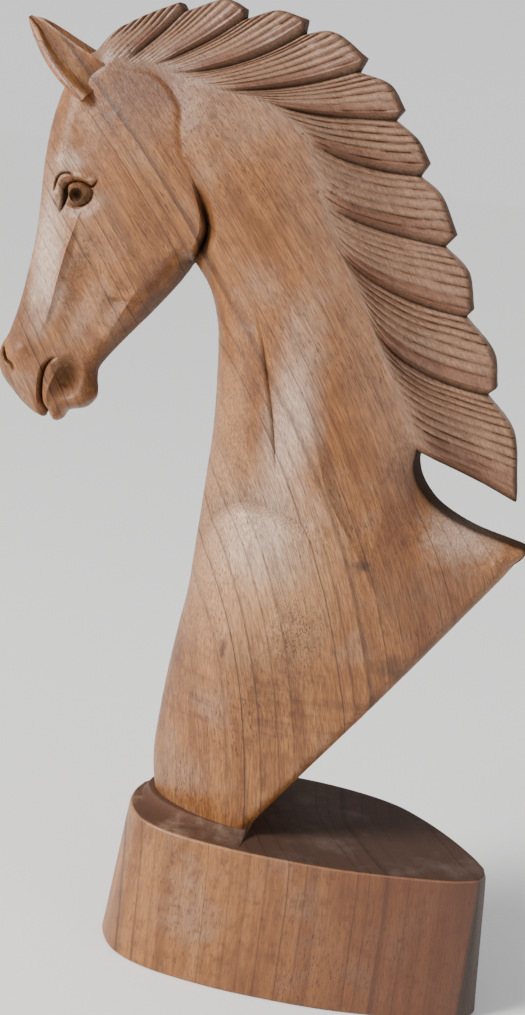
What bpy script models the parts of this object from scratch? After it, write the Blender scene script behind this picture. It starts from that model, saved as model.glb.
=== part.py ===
"""Carved horse head and neck on its base, all cut from one block of hardwood.

Metres, +Z up, the nose towards -X, the underside of the base on z = 0.
The figure is a relief on both sides of the plane y = 0: an outline, a half
thickness at each point of it, and the carved lines that raise or cut that
thickness. Its places are in thousandths of the figure's height, counted from
the middle of the base's top.
"""

import math

import bmesh
import bpy
import numpy as np
from mathutils import Vector
from mathutils.geometry import delaunay_2d_cdt

# Sizes that can be set by themselves
BASE_LENGTH = 0.200
BASE_WIDTH = 0.116
BASE_HEIGHT = 0.078
BASE_END_FLARE = 0.0065
BASE_SIDE_FLARE = 0.0035
BASE_EDGE_ROUND = 0.0018
FIGURE_HEIGHT = 0.422
FOOT_LEDGE = 0.0065
FOOT_SUNK = 0.003
COVE_HEIGHT = 0.0040
COVE_REACH = 0.0130
SHOULDER_WIDTH = 0.084
MANE_EDGE_WIDTH = 0.0110
LOCK_RISE = 0.0030
STRAND_PITCH = 0.0055
STRAND_DEPTH = 0.0011
EAR_WALL = 0.0040
EYE_RADIUS = 0.0064

MILLE = FIGURE_HEIGHT / 1000
TOP = BASE_HEIGHT
WOOD_COLOUR = (0.42, 0.25, 0.13, 1.0)
WOOD_ROUGHNESS = 0.5

# The outline, anticlockwise from the first lock of the mane
FACE = [(-402, 922), (-420, 909), (-437, 876), (-446, 842), (-450, 814), (-452, 777), (-452, 740),
        (-453, 703), (-457, 665), (-466, 607), (-476, 567), (-485, 547), (-487, 527), (-479, 509),
        (-463, 492), (-443, 475), (-421, 465), (-415, 473)]
LIPS = [(-415, 473), (-404, 463), (-395, 467), (-387, 479), (-366, 486), (-355, 499), (-353, 511)]
JAW = [(-353, 511), (-357, 526), (-354, 542), (-330, 576), (-296, 619), (-267, 659), (-249, 689)]
FRONT = [(-249, 689), (-237, 677), (-224, 658), (-212, 628), (-205, 591), (-198, 498), (-199, 420),
         (-201, 341), (-203, 281), (-209, 232), (-215, 177), (-219, 121), (-221, 60), (-215, 17),
         (-209, 0)]
UNDERCUT = [(-71, 9), (-8, 99), (56, 188), (121, 280), (197, 387)]
CORNER = [(197, 387), (207, 399), (206, 408), (190, 412)]
SADDLE = [(190, 412), (142, 422), (107, 435), (84, 450), (68, 468), (60, 488), (61, 509)]

# The foot stands a ledge's width behind the base's front end
FOOT_FRONT = min(x for x, z in FRONT if z < 200)
FIGURE_SHIFT = FOOT_LEDGE - BASE_LENGTH / 2 - FOOT_FRONT * MILLE

# The mane's locks: where the lower edge leaves the neck, the bend of that edge,
# the notch where it ends, then the swell and the tip of the lock's outer edge
TOP_EDGE = [(-402, 921), (-391, 938), (-375, 952)]
LOCKS = [
    ((-357, 910), (-337, 932), (-296, 981), (-342, 972), (-304, 990)),
    ((-323, 911), (-272, 940), (-224, 980), (-251, 1000), (-226, 993)),
    ((-300, 907), (-226, 915), (-151, 972), (-186, 995), (-151, 990)),
    ((-243, 895), (-171, 899), (-80, 938), (-116, 979), (-74, 955)),
    ((-185, 890), (-122, 877), (-29, 889), (-43, 929), (-21, 902)),
    ((-128, 859), (-89, 824), (10, 829), (0, 870), (18, 845)),
    ((-98, 790), (-66, 758), (52, 752), (38, 810), (63, 767)),
    ((-73, 740), (-26, 679), (90, 674), (84, 726), (97, 683)),
    ((-18, 659), (20, 590), (130, 586), (129, 637), (140, 596)),
    ((61, 509), (114, 491), (186, 463), (169, 545), (184, 478)),
]
ROOT_BENDS = [(-380, 914), (-340, 909), (-312, 909), (-272, 899), (-214, 893), (-152, 876),
              (-110, 825), (-86, 764), (-46, 704), (24, 580)]

# Half thickness of the figure at places on it, in thousandths of its height
STATIONS = [
    (-478, 535, 27), (-455, 500, 27), (-430, 480, 26), (-400, 480, 26), (-365, 495, 25),
    (-430, 560, 34), (-390, 540, 33), (-445, 640, 37), (-400, 620, 40), (-340, 590, 40),
    (-440, 740, 47), (-400, 700, 50), (-300, 640, 56), (-390, 790, 56), (-330, 720, 62),
    (-440, 830, 42), (-270, 700, 60), (-400, 880, 42), (-330, 830, 56), (-280, 760, 60),
    (-360, 895, 40), (-300, 890, 42), (-230, 660, 46), (-240, 820, 58), (-200, 870, 48),
    (-180, 740, 66), (-130, 830, 50), (-100, 760, 50), (-110, 660, 72), (-150, 560, 74),
    (-180, 600, 66), (-30, 670, 54), (-60, 560, 76), (10, 590, 58), (-170, 480, 82),
    (-50, 460, 86), (40, 500, 58), (60, 470, 54), (-160, 380, 92), (-80, 360, 98),
    (0, 380, 88), (90, 420, 60), (190, 405, 38), (120, 350, 64), (-180, 260, 94),
    (-100, 240, 100), (20, 220, 88), (-190, 120, 94), (-110, 100, 97), (-30, 110, 92),
    (-190, 10, 90), (-100, 10, 96), (-60, 10, 96),
]

# Each ear: its middle line, its widths at shares of that line, and how far its rim
# stands from the middle plane at the root and at the tip
EAR_LINE = [(-385, 882), (-436, 910), (-488, 951)]
EAR_WIDTHS = [(0.0, 50), (0.18, 50), (0.36, 46), (0.54, 39), (0.70, 31), (0.84, 22), (0.94, 13), (1.0, 4)]
EAR_RIM = (40, 15)
EAR_HOLLOW = 0.42
EAR_THINNEST = 0.4

# The base's plan, in shares of half its length and half its width
BASE_NEAR_SIDE = [(-0.985, 0.09), (-1.0, -0.15), (-0.97, -0.46), (-0.86, -0.76), (-0.66, -0.93), (-0.36, -1.0),
                  (-0.10, -1.0), (0.22, -0.95), (0.53, -0.83), (0.78, -0.70), (0.91, -0.58)]
BASE_CUT_END = [(0.945, -0.53), (0.97, -0.40)]
BASE_FAR_SIDE = [(0.955, -0.24), (0.88, -0.02), (0.74, 0.30), (0.56, 0.62), (0.38, 0.84), (0.12, 0.97),
                 (-0.20, 1.0), (-0.56, 0.90), (-0.84, 0.58), (-0.985, 0.09)]
BASE_STEP = 0.14

# The cove round the foot: shares of its reach and of its height, from its outer edge up to the foot
COVE_PROFILE = [(1.0, -0.25), (0.95, 0.06), (0.55, 0.25), (0.22, 0.6), (0.0, 1.0), (-0.15, 1.1)]
FIGURE_SIDE_INSET = 16

# Carved lines: the places, then the rise (a cut is negative) and the reach on
# the line's left and on its right, at each of its two ends and in between
CHEEK_REAR = [(-249, 689), (-241, 700), (-234, 716), (-231, 738), (-245, 777), (-265, 815), (-281, 866),
              (-300, 907)]
# The head gives way to the neck along this line: up between jaw and throat, then behind the cheek
HEAD_LINE = [(-262, 0), (-262, 560)] + CHEEK_REAR
CHEEK_LOW = [(-356, 634), (-338, 631), (-312, 634), (-290, 646)]
JAW_BAR = [(-302, 652), (-328, 602), (-350, 555)]
NOSE_CREST = [(-388, 719), (-398, 683), (-409, 635), (-419, 592), (-432, 569)]
MOUTH = [(-415, 473), (-421, 500), (-419, 528), (-409, 544), (-397, 549)]
NOSTRIL = [(-478, 546), (-471, 533), (-462, 528), (-456, 518)]
THROAT = [(-207, 712), (-188, 692), (-170, 667), (-153, 648), (-141, 621), (-129, 581), (-115, 534),
          (-102, 481), (-96, 457)]
UPPER_LID = [(-413, 742), (-410, 757), (-397, 766), (-382, 763), (-374, 762), (-366, 775)]
LID_FOLD = [(-425, 753), (-423, 764), (-415, 773), (-406, 774), (-396, 769)]
EYE_CENTRE = (-390, 750)
FINE = 3
SHOULDER_ARC = [(-176, 384), (-154, 412), (-134, 419), (-105, 418), (-73, 409), (-30, 398)]


def curve(points, step):
    """A smooth curve through the points, with a place about every step."""
    line = [np.array(p, float) for p in points]
    line = [2 * line[0] - line[1]] + line + [2 * line[-1] - line[-2]]
    places = []
    for before, start, end, after in zip(line, line[1:], line[2:], line[3:]):
        count = max(1, round(float(np.linalg.norm(end - start)) / step))
        for i in range(count):
            t = i / count
            places.append(0.5 * (2 * start + (end - before) * t
                                 + (2 * before - 5 * start + 4 * end - after) * t ** 2
                                 + (3 * start - 3 * end + after - before) * t ** 3))
    places.append(line[-2])
    return np.array(places)


def at_shares(line, shares):
    """Places at shares of a line's length."""
    steps = np.linalg.norm(np.diff(line, axis=0), axis=1)
    along = np.concatenate([[0], np.cumsum(steps)]) / steps.sum()
    return np.stack([np.interp(shares, along, line[:, i]) for i in (0, 1)], axis=1)


def bend(start, middle, end, shares):
    """Places at shares of the length of a curve that leaves start towards middle and comes in at end."""
    t = np.linspace(0, 1, 25)[:, None]
    start, middle, end = (np.array(p, float) for p in (start, middle, end))
    return at_shares((1 - t) ** 2 * start + 2 * t * (1 - t) * middle + t ** 2 * end, shares)


def from_line(places, line):
    """Distance to a line, its sign (+ on the line's left) and the share along it, for each place."""
    starts, runs = line[:-1], np.diff(line, axis=0)
    lengths = np.linalg.norm(runs, axis=1)
    along = np.concatenate([[0], np.cumsum(lengths)])
    gaps = places[:, None, :] - starts[None]
    t = np.clip((gaps * runs).sum(2) / lengths ** 2, 0, 1)
    off = gaps - t[..., None] * runs
    distances = np.linalg.norm(off, axis=2)
    nearest = distances.argmin(axis=1)
    rows = np.arange(len(places))
    gap, run = gaps[rows, nearest], runs[nearest]
    side = np.sign(run[:, 0] * gap[:, 1] - run[:, 1] * gap[:, 0])
    share_along = (along[nearest] + t[rows, nearest] * lengths[nearest]) / along[-1]
    return distances[rows, nearest], side, share_along


def smooth(value):
    value = np.clip(value, 0, 1)
    return value * value * (3 - 2 * value)


def rounding(places, line, reach, edge):
    """How the thickness falls off towards an edge: a quarter round of the given reach, down to a share."""
    distance, _, along = from_line(places, curve(line, FINE))
    shares = np.linspace(0, 1, len(reach))
    inside = np.clip(distance / np.interp(along, shares, reach), 0, 1)
    left = np.interp(along, np.linspace(0, 1, len(edge)), edge)
    return left + (1 - left) * np.sqrt(1 - (1 - inside) ** 2)


def crease(places, line, rises, left, right):
    """A carved line: its rise at places near it, falling to nothing at its reach on each side."""
    distance, side, along = from_line(places, curve(line, FINE))
    rise = np.interp(along, np.linspace(0, 1, len(rises)), rises)
    return rise * np.clip(1 - distance / np.where(side > 0, left, right), 0, 1) ** 1.5


def dome(places, centre, radii, turn, rise, fullness=1.5):
    """A swelling, or a hollow where the rise is negative, over an ellipse."""
    x, z = (places - centre).T
    a = math.radians(turn)
    u = (x * math.cos(a) + z * math.sin(a)) / radii[0]
    v = (z * math.cos(a) - x * math.sin(a)) / radii[1]
    return rise * np.clip(1 - u * u - v * v, 0, 1) ** fullness


def thickness_spline():
    """Weights of the smooth sheet through the stations."""
    places = np.array(STATIONS, float)
    widest = max(s[2] for s in STATIONS)
    heights = places[:, 2] * (SHOULDER_WIDTH / 2 / MILLE / widest)
    count = len(places)
    matrix = np.zeros((count + 3, count + 3))
    matrix[:count, :count] = sheet_kernel(places[:, :2], places[:, :2]) + np.eye(count) * 300
    matrix[:count, count:] = np.column_stack([np.ones(count), places[:, :2]])
    matrix[count:, :count] = matrix[:count, count:].T
    return places[:, :2], np.linalg.solve(matrix, np.concatenate([heights, [0, 0, 0]]))


def sheet_kernel(a, b):
    squares = ((a[:, None] - b[None]) ** 2).sum(2)
    return squares * np.log(squares + 1e-9) / 2


SHEET_PLACES, SHEET_WEIGHTS = thickness_spline()


def full_thickness(places):
    count = len(SHEET_PLACES)
    spread = sheet_kernel(places, SHEET_PLACES) @ SHEET_WEIGHTS[:count]
    return spread + SHEET_WEIGHTS[count] + places @ SHEET_WEIGHTS[count + 1:]


def half_thickness(places):
    """Half the figure's thickness at places inside the outline, in thousandths of its height."""
    distance, side, _ = from_line(places, np.array(HEAD_LINE, float))
    soft = np.interp(places[:, 1], [700, 740, 820, 907], [4, 8, 60, 90])
    head = smooth(0.5 + side * distance / soft / 2)
    head_round = (rounding(places, FACE, (34, 40, 44, 34, 20), (0,))
                  * rounding(places, LIPS, (15, 18), (0,))
                  * rounding(places, JAW, (18, 26, 24), (0,)))
    neck_round = rounding(places, FRONT, (34, 56, 70, 84, 110, 140, 150), (0,))
    tail_round = (rounding(places, UNDERCUT, (14,), (0.86, 0.86, 0.8, 0.6))
                  * rounding(places, CORNER + SADDLE[1:], (30, 60, 60, 36), (0.5, 0.3, 0.35, 0.7)))

    rise = crease(places, CHEEK_REAR, (-19, -24, -17, -5, 0, 0, 0, 0), 8, 24)
    rise += crease(places, CHEEK_LOW, (0, -4, -3, 0), 7, 22)
    rise += crease(places, JAW_BAR, (1, 5, 2), 21, 19)
    rise += crease(places, NOSE_CREST, (1, 4, 4, 2, 0), 9, 19)
    rise += dome(places, (-376, 640), (20, 66), -14, -6)
    rise += crease(places, MOUTH, (-12, -13, -12, -7, 0), 5, 8)
    rise += dome(places, (-384, 522), (24, 26), 0, -7)
    rise += crease(places, NOSTRIL, (-8, -8, -4, 0), 6, 5)
    rise += dome(places, (-470, 514), (10, 16), 30, 2)
    rise += crease(places, THROAT, (0, -5, -6, -5, -4, 0), 28, 8)
    rise += crease(places, SHOULDER_ARC, (0, -4, -5, -4, 0), 30, 6)
    rise += dome(places, (-105, 270), (125, 165), -18, 8, 2)
    rise += dome(places, (-419, 785), (24, 20), -30, 5)
    rise += dome(places, (-391, 750), (27, 22), 8, -7, 1)
    eye = EYE_RADIUS / MILLE
    rise += dome(places, EYE_CENTRE, (eye, eye * 0.9), 0, eye * 0.62, 0.6)
    rise += dome(places, EYE_CENTRE, (eye * 0.42, eye * 0.42), 0, -6, 1)
    rise += crease(places, UPPER_LID, (-5, -4, -4, -3, 0), 3, 4)
    rise += crease(places, LID_FOLD, (0, -4, -4, 0), 5, 3)
    both = head * head_round + (1 - head) * neck_round
    return np.maximum((full_thickness(places) + rise) * both * tail_round, 0)


def lock_columns(outer):
    """Shares across a lock: a ridge and a valley for each strand, then the drop to the next lock."""
    count = max(3, round(outer * MILLE / STRAND_PITCH))
    return np.append(np.linspace(0, 0.88, 2 * count + 1), 1.0), count


def mane():
    """The locks of one side, as places, half thicknesses and faces."""
    rows = np.array([0, 0.12, 0.30, 0.55, 0.80, 1.0])
    places, heights, faces = [], [], []
    upper_ends = (TOP_EDGE[0], TOP_EDGE[1], TOP_EDGE[2])
    root_places = []
    for (root, sweep, notch, swell, tip), root_bend in zip(LOCKS, ROOT_BENDS):
        outer = curve([upper_ends[2], swell, tip], 6)
        length = float(np.linalg.norm(np.diff(outer, axis=0), axis=1).sum())
        columns, strands = lock_columns(length)
        upper = bend(*upper_ends, rows)
        lower = bend(root, sweep, notch, rows)
        inner = bend(upper_ends[0], root_bend, root, columns)
        edge = np.vstack([at_shares(outer, columns[:-1] / columns[-2]), [notch]])
        root_places.append(inner)
        grid = np.zeros((len(rows), len(columns), 2))
        for j, w in enumerate(rows):
            for i, v in enumerate(columns):
                corners = ((1 - v) * (1 - w) * inner[0] + v * (1 - w) * inner[-1]
                           + (1 - v) * w * edge[0] + v * w * edge[-1])
                grid[j, i] = ((1 - v) * upper[j] + v * lower[j] + (1 - w) * inner[i] + w * edge[i] - corners)
        at_root = half_thickness(inner)
        first = sum(len(p) for p in places)
        fall = 1 - smooth(rows / 0.75)
        thin = MANE_EDGE_WIDTH / 2 / MILLE
        height = thin + fall[:, None] * (at_root - thin)[None]
        ramp = smooth(rows / 0.35)[:, None]
        across = np.clip(columns / 0.88, 0, 1)
        rise = np.where(columns > 0.9, 0, 0.25 + 0.75 * across ** 1.3) * (LOCK_RISE / MILLE)
        rise[0] = 0
        groove = np.array([i % 2 for i in range(len(columns))]) * (STRAND_DEPTH / MILLE)
        height = height + ramp * (rise - groove)
        places.append(grid.reshape(-1, 2))
        heights.append(height.reshape(-1))
        width = len(columns)
        for j in range(len(rows) - 1):
            for i in range(width - 1):
                a = first + j * width + i
                faces.append((a, a + 1, a + 1 + width, a + width))
        upper_ends = (root, sweep, notch)
    return np.vstack(places), np.concatenate(heights), faces, np.vstack(root_places)


class Scatter:
    """Places that keep a distance from one another."""

    def __init__(self, cell):
        self.cell, self.cells, self.places = cell, {}, []

    def near(self, place, gap):
        reach = int(gap // self.cell) + 1
        cx, cz = int(place[0] // self.cell), int(place[1] // self.cell)
        for i in range(cx - reach, cx + reach + 1):
            for j in range(cz - reach, cz + reach + 1):
                for other in self.cells.get((i, j), ()):
                    if math.dist(place, other) < gap:
                        return True
        return False

    def add(self, place):
        place = (float(place[0]), float(place[1]))
        self.cells.setdefault((int(place[0] // self.cell), int(place[1] // self.cell)), []).append(place)
        self.places.append(place)


def inside(places, outline):
    """Whether each place lies inside a closed outline."""
    x, z = places.T
    within = np.zeros(len(places), bool)
    for (ax, az), (bx, bz) in zip(outline, np.roll(outline, -1, axis=0)):
        crosses = (az > z) != (bz > z)
        if az != bz:
            within ^= crosses & (x < ax + (z - az) * (bx - ax) / (bz - az))
    return within


def spacing(places):
    """How far apart the surface's places stand: close on the face, wide on the neck."""
    x, z = places.T
    face = smooth((-235 - x) / 60) * smooth((z - 470) / 40)
    return 26 - 14 * face


def body(root_places):
    """The head, neck and bust of one side, as places and triangles."""
    foot = -FOOT_SUNK / MILLE
    stretches = [(FACE, 10), (LIPS, 8), (JAW, 13), (FRONT, 20)]
    outline = []
    for points, step in stretches:
        outline.extend(curve(points, step)[:-1])
    outline.extend([(FRONT[-1][0], 0), (FRONT[-1][0], foot)])
    bottom = np.linspace(FRONT[-1][0], UNDERCUT[0][0], 12)[1:]
    outline.extend((x, foot) for x in bottom)
    outline.extend(curve(UNDERCUT, 22)[:-1])
    outline.extend(curve(CORNER, 7)[:-1])
    outline.extend(curve(SADDLE, 14)[:-1])
    keep = [root_places[-1]]
    for place in root_places[::-1][1:]:
        if math.dist(place, keep[-1]) > 1e-6:
            keep.append(place)
    outline.extend(keep[:-1])
    outline = np.array(outline)

    scatter = Scatter(8)
    for place in outline:
        scatter.add(place)
    edges = [(i, (i + 1) % len(outline)) for i in range(len(outline))]
    lines = [(CHEEK_REAR[:6], 9), (MOUTH, 8), (THROAT, 14), (UPPER_LID, 6), (LID_FOLD, 6), (NOSE_CREST, 14),
             (CHEEK_LOW, 12), (JAW_BAR, 14), (NOSTRIL, 7), (SHOULDER_ARC[1:], 20)]
    for points, step in lines:
        line = curve(points, step)
        within = inside(line, outline)
        line = [p for p, ok in zip(line, within) if ok and not scatter.near(p, 3)]
        first = len(scatter.places)
        for place in line:
            scatter.add(place)
        edges.extend((first + i, first + i + 1) for i in range(len(line) - 1))
        if points in (CHEEK_REAR[:6], MOUTH):
            edges.append((nearest_index(outline, points[0]), first))
    eye = EYE_RADIUS / MILLE
    for radius, count in ((0.42, 6), (1.0, 10), (1.45, 12)):
        for i in range(count):
            angle = 2 * math.pi * i / count
            place = (EYE_CENTRE[0] + eye * radius * math.cos(angle), EYE_CENTRE[1] + eye * radius * math.sin(angle))
            if not scatter.near(place, 3.2):
                scatter.add(place)
    scatter.add(EYE_CENTRE)
    rows = [(FACE, 10, (3, 12, 26)), (LIPS, 8, (3, 11)), (JAW, 13, (3, 12)), (FRONT, 20, (3, 13, 32)),
            (UNDERCUT, 22, (12,)), (CORNER, 7, (10,)), (SADDLE, 14, (6, 24)), (THROAT, 18, (8, -16)),
            (CHEEK_REAR[:5], 10, (7, -12, -24)), (MOUTH, 8, (6, -6)), (SHOULDER_ARC[1:], 22, (8, 26))]
    for points, step, offsets in rows:
        line = curve(points, step)
        run = np.gradient(line, axis=0)
        left = np.stack([-run[:, 1], run[:, 0]], axis=1) / np.linalg.norm(run, axis=1)[:, None]
        for offset in offsets:
            row = line + left * offset
            clear = from_line(row, line)[0] > abs(offset) * 0.9
            last = None
            for place, ok in zip(row, clear & inside(row, outline)):
                if not ok or scatter.near(place, min(abs(offset) * 0.85, step * 0.6)):
                    last = None
                    continue
                scatter.add(place)
                if last is not None:
                    edges.append((last, len(scatter.places) - 1))
                last = len(scatter.places) - 1
    low, high = outline.min(axis=0), outline.max(axis=0)
    xs, zs = np.meshgrid(np.arange(low[0], high[0], 4.0), np.arange(low[1], high[1], 4.0))
    candidates = np.column_stack([xs.ravel(), zs.ravel()])
    candidates = candidates[inside(candidates, outline)]
    np.random.default_rng(7).shuffle(candidates)
    for place, gap in zip(candidates, spacing(candidates)):
        if not scatter.near(place, gap * 0.82):
            scatter.add(place)

    vectors = [Vector(place) for place in scatter.places]
    verts, _, triangles, _, _, _ = delaunay_2d_cdt(vectors, edges, [list(range(len(outline)))], 1, 1e-5)
    places = np.array([tuple(v) for v in verts])
    for place in root_places:
        places[np.abs(places - place).max(axis=1) < 0.01] = place
    return places, triangles


def nearest_index(places, place):
    return int(np.linalg.norm(places - np.array(place, float), axis=1).argmin())


def figure_mesh():
    """Both sides of the figure, joined along the outline."""
    lock_places, lock_heights, lock_faces, root_places = mane()
    body_places, body_faces = body(root_places)
    body_heights = half_thickness(body_places)
    places = np.vstack([lock_places, body_places])
    heights = np.concatenate([lock_heights, body_heights])
    faces = [tuple(f) for f in lock_faces] + [tuple(i + len(lock_places) for i in f) for f in body_faces]

    # One index for each place, so that the locks and the neck share their line
    index, kept, merged = {}, [], []
    for place, height in zip(places, heights):
        key = (round(place[0] * 200), round(place[1] * 200))
        if key not in index:
            index[key] = len(kept)
            kept.append((place[0], place[1], height))
        merged.append(index[key])
    clean = []
    for face in faces:
        ring = [merged[i] for i in face]
        ring = [v for i, v in enumerate(ring) if v != ring[i - 1]]
        if len(ring) > 2:
            clean.append(ring)

    near = [(x * MILLE + FIGURE_SHIFT, -h * MILLE, z * MILLE + TOP) for x, z, h in kept]
    verts = list(near)
    far = []
    for number, (x, y, z) in enumerate(near):
        if -y < 1e-5:
            far.append(number)
        else:
            far.append(len(verts))
            verts.append((x, -y, z))
    rings = []
    borders = {}
    for ring in clean:
        area = sum(kept[a][0] * kept[b][1] - kept[b][0] * kept[a][1] for a, b in zip(ring, ring[1:] + ring[:1]))
        if area < 0:
            ring = ring[::-1]
        rings.append(ring)
        rings.append([far[i] for i in reversed(ring)])
        for a, b in zip(ring, ring[1:] + ring[:1]):
            borders[(a, b)] = borders.get((a, b), 0) + 1
    for a, b in borders:
        if (b, a) in borders:
            continue
        ring = [b, a, far[a], far[b]]
        ring = [v for i, v in enumerate(ring) if v != ring[i - 1]]
        if len(ring) > 2:
            rings.append(ring)
    return verts, rings


def closed_loft(rings):
    """Rings of as many places each, joined one to the next and closed at both ends."""
    count = len(rings[0])
    faces = [tuple(reversed(range(count)))]
    for level in range(len(rings) - 1):
        for i in range(count):
            a, b = level * count + i, level * count + (i + 1) % count
            faces.append((a, b, b + count, a + count))
    faces.append(tuple((len(rings) - 1) * count + i for i in range(count)))
    return [place for ring in rings for place in ring], faces


def base_mesh():
    """The base: a leaf-shaped plan, fuller on the far side, with its narrow end cut off short."""
    plan = np.vstack([curve(BASE_NEAR_SIDE, BASE_STEP), BASE_CUT_END, curve(BASE_FAR_SIDE, BASE_STEP)[:-1]])
    edge = BASE_EDGE_ROUND
    levels = [(0.0, 1.0, 0.7), (edge, 1.0, 0.0), (BASE_HEIGHT * 0.45, 0.6, 0.0), (BASE_HEIGHT - edge, 0.0, 0.0),
              (BASE_HEIGHT - edge * 0.3, 0.0, 0.35), (BASE_HEIGHT, 0.0, 1.0)]
    rings = []
    for height, flare, eased in levels:
        half_length = BASE_LENGTH / 2 + BASE_END_FLARE * flare - edge * eased
        half_width = BASE_WIDTH / 2 + BASE_SIDE_FLARE * flare - edge * eased
        rings.append([(x * half_length, y * half_width, height) for x, y in plan])
    return closed_loft(rings)


def cove_mesh():
    """The low cove that leads from the base's top up to the foot, cut square behind the foot."""
    rear = UNDERCUT[0][0] * MILLE + FIGURE_SHIFT
    length = (UNDERCUT[0][0] - FOOT_FRONT) * MILLE
    foot_rear = np.array([UNDERCUT[1]]) - (UNDERCUT[1][0] - UNDERCUT[0][0] + FIGURE_SIDE_INSET, 0)
    width = half_thickness(foot_rear)[0] * MILLE
    front_reach = FOOT_LEDGE - BASE_EDGE_ROUND
    turns = np.linspace(-math.pi / 2, math.pi / 2, 19)
    rings = []
    for spread, height in COVE_PROFILE:
        rings.append([(rear - (length + spread * front_reach) * math.cos(turn),
                       (width + spread * COVE_REACH) * math.sin(turn),
                       TOP + height * COVE_HEIGHT) for turn in turns])
    return closed_loft(rings)


def ear_mesh(side):
    """One ear: a pointed leaf hollowed out on its outer side."""
    line = curve(EAR_LINE, FINE)
    run = np.array(EAR_LINE[-1], float) - EAR_LINE[0]
    across = np.array([run[1], -run[0]]) / np.linalg.norm(run)
    wall = EAR_WALL / MILLE
    turns = np.linspace(0, math.pi, 9)
    rings = []
    for share_along, width in EAR_WIDTHS:
        centre = at_shares(line, [share_along])[0]
        rim = np.interp(share_along, [0, 1], EAR_RIM)
        ring = []
        for inset, order in ((0, turns), (wall, turns[::-1])):
            for turn in order:
                reach = max(width / 2 - inset, EAR_THINNEST) * math.cos(turn)
                depth = max(width * EAR_HOLLOW - inset, EAR_THINNEST) * math.sin(turn)
                x, z = centre + across * reach
                ring.append((x * MILLE + FIGURE_SHIFT, side * (rim - depth) * MILLE, z * MILLE + TOP))
        rings.append(ring)
    return closed_loft(rings)


def make_object(name, mesh_data):
    mesh = bpy.data.meshes.new(name)
    mesh.from_pydata(*[list(part) for part in (mesh_data[0], [], mesh_data[1])])
    work = bmesh.new()
    work.from_mesh(mesh)
    bmesh.ops.recalc_face_normals(work, faces=work.faces)
    bmesh.ops.triangulate(work, faces=work.faces)
    work.to_mesh(mesh)
    work.free()
    result = bpy.data.objects.new(name, mesh)
    bpy.context.scene.collection.objects.link(result)
    return result


def carve_from_one_block(target, others):
    """Fuse the other solids with the target, which keeps its name."""
    for other in others:
        other.hide_render = True
        other.display_type = "WIRE"
        join = target.modifiers.new("join " + other.name, "BOOLEAN")
        join.operation = "UNION"
        join.solver = "EXACT"
        join.object = other


def wood():
    material = bpy.data.materials.new("oiled hardwood")
    material.use_nodes = True
    shader = material.node_tree.nodes["Principled BSDF"]
    shader.inputs["Base Color"].default_value = WOOD_COLOUR
    shader.inputs["Roughness"].default_value = WOOD_ROUGHNESS
    shader.inputs["Metallic"].default_value = 0.0
    return material


def main():
    for old in list(bpy.data.objects):
        bpy.data.objects.remove(old, do_unlink=True)
    head = make_object("carved_horse_head", figure_mesh())
    base = make_object("base_shape", base_mesh())
    ears = [make_object("ear_shape_" + name, ear_mesh(side)) for name, side in (("near", -1), ("far", 1))]
    cove = make_object("cove_shape", cove_mesh())
    carve_from_one_block(head, [cove, base] + ears)
    head.data.materials.append(wood())


main()
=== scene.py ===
"""The looks of the carved horse head: the finely carved figure, its ears, the base and the wood.

Metres, +Z up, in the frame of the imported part. The figure is a relief on both
sides of the plane y = 0: an outline, a half thickness at each point of it, and
the carved lines that raise or cut that thickness. Its places are in thousandths
of the figure's height, counted from a point near the middle of the base's top.
"""

import math

import bmesh
import bpy
import numpy as np
from mathutils import Matrix, Vector
from mathutils.geometry import delaunay_2d_cdt


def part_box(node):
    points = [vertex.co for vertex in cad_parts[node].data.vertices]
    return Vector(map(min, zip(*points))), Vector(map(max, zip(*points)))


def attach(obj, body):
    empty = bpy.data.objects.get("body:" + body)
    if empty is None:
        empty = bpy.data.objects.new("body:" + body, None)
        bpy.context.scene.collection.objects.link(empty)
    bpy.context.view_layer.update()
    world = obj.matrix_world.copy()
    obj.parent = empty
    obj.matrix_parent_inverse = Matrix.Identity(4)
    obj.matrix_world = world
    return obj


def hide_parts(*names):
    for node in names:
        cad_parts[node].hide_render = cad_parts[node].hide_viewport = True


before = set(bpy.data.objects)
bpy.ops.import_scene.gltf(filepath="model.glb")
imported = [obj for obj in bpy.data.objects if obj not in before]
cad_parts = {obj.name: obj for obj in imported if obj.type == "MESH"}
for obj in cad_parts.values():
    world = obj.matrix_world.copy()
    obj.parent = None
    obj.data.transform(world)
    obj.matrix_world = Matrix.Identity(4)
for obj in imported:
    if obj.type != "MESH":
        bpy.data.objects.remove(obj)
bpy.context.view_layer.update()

NODE = "carved_horse_head"
_, high_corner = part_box(NODE)

# Sizes of the real carving
BASE_LENGTH = 0.200
BASE_WIDTH = 0.116
BASE_HEIGHT = 0.078
BASE_END_FLARE = 0.0065
BASE_SIDE_FLARE = 0.0035
BASE_EDGE_ROUND = 0.0018
FIGURE_HEIGHT = high_corner.z - BASE_HEIGHT
FOOT_LEDGE = 0.0065
FOOT_SUNK = 0.003
COVE_HEIGHT = 0.0040
SHOULDER_WIDTH = 0.084
MANE_EDGE_WIDTH = 0.0110
LOCK_RISE = 0.0030
STRAND_PITCH = 0.0055
STRAND_DEPTH = 0.0011
GOUGE_DEPTH = STRAND_DEPTH * 1.8
EAR_WALL = 0.0040
EYE_RADIUS = 0.0064
EAR_REAR_WALL = 0.0012

# The tree: how its growth lines lean, where its middle lies and how far apart they stand
TRUNK_LEAN = 1.2
TRUNK_MIDDLE = (0.28, 0.10)
RING_WIDTH = 0.0095

# Where the curly figure comes in and goes out with height, and, along the base, where it turns darker and
# redder, where its short rear end in painted shade starts and where the browner ledge begins
CURLY_HEIGHTS = (0.115, 0.14, 0.16, 0.185)
REDDENING = (-0.07, 0.09)
REAR_END = (0.0925, 0.0955)
LEDGE_START = (-0.02, -0.055)


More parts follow.
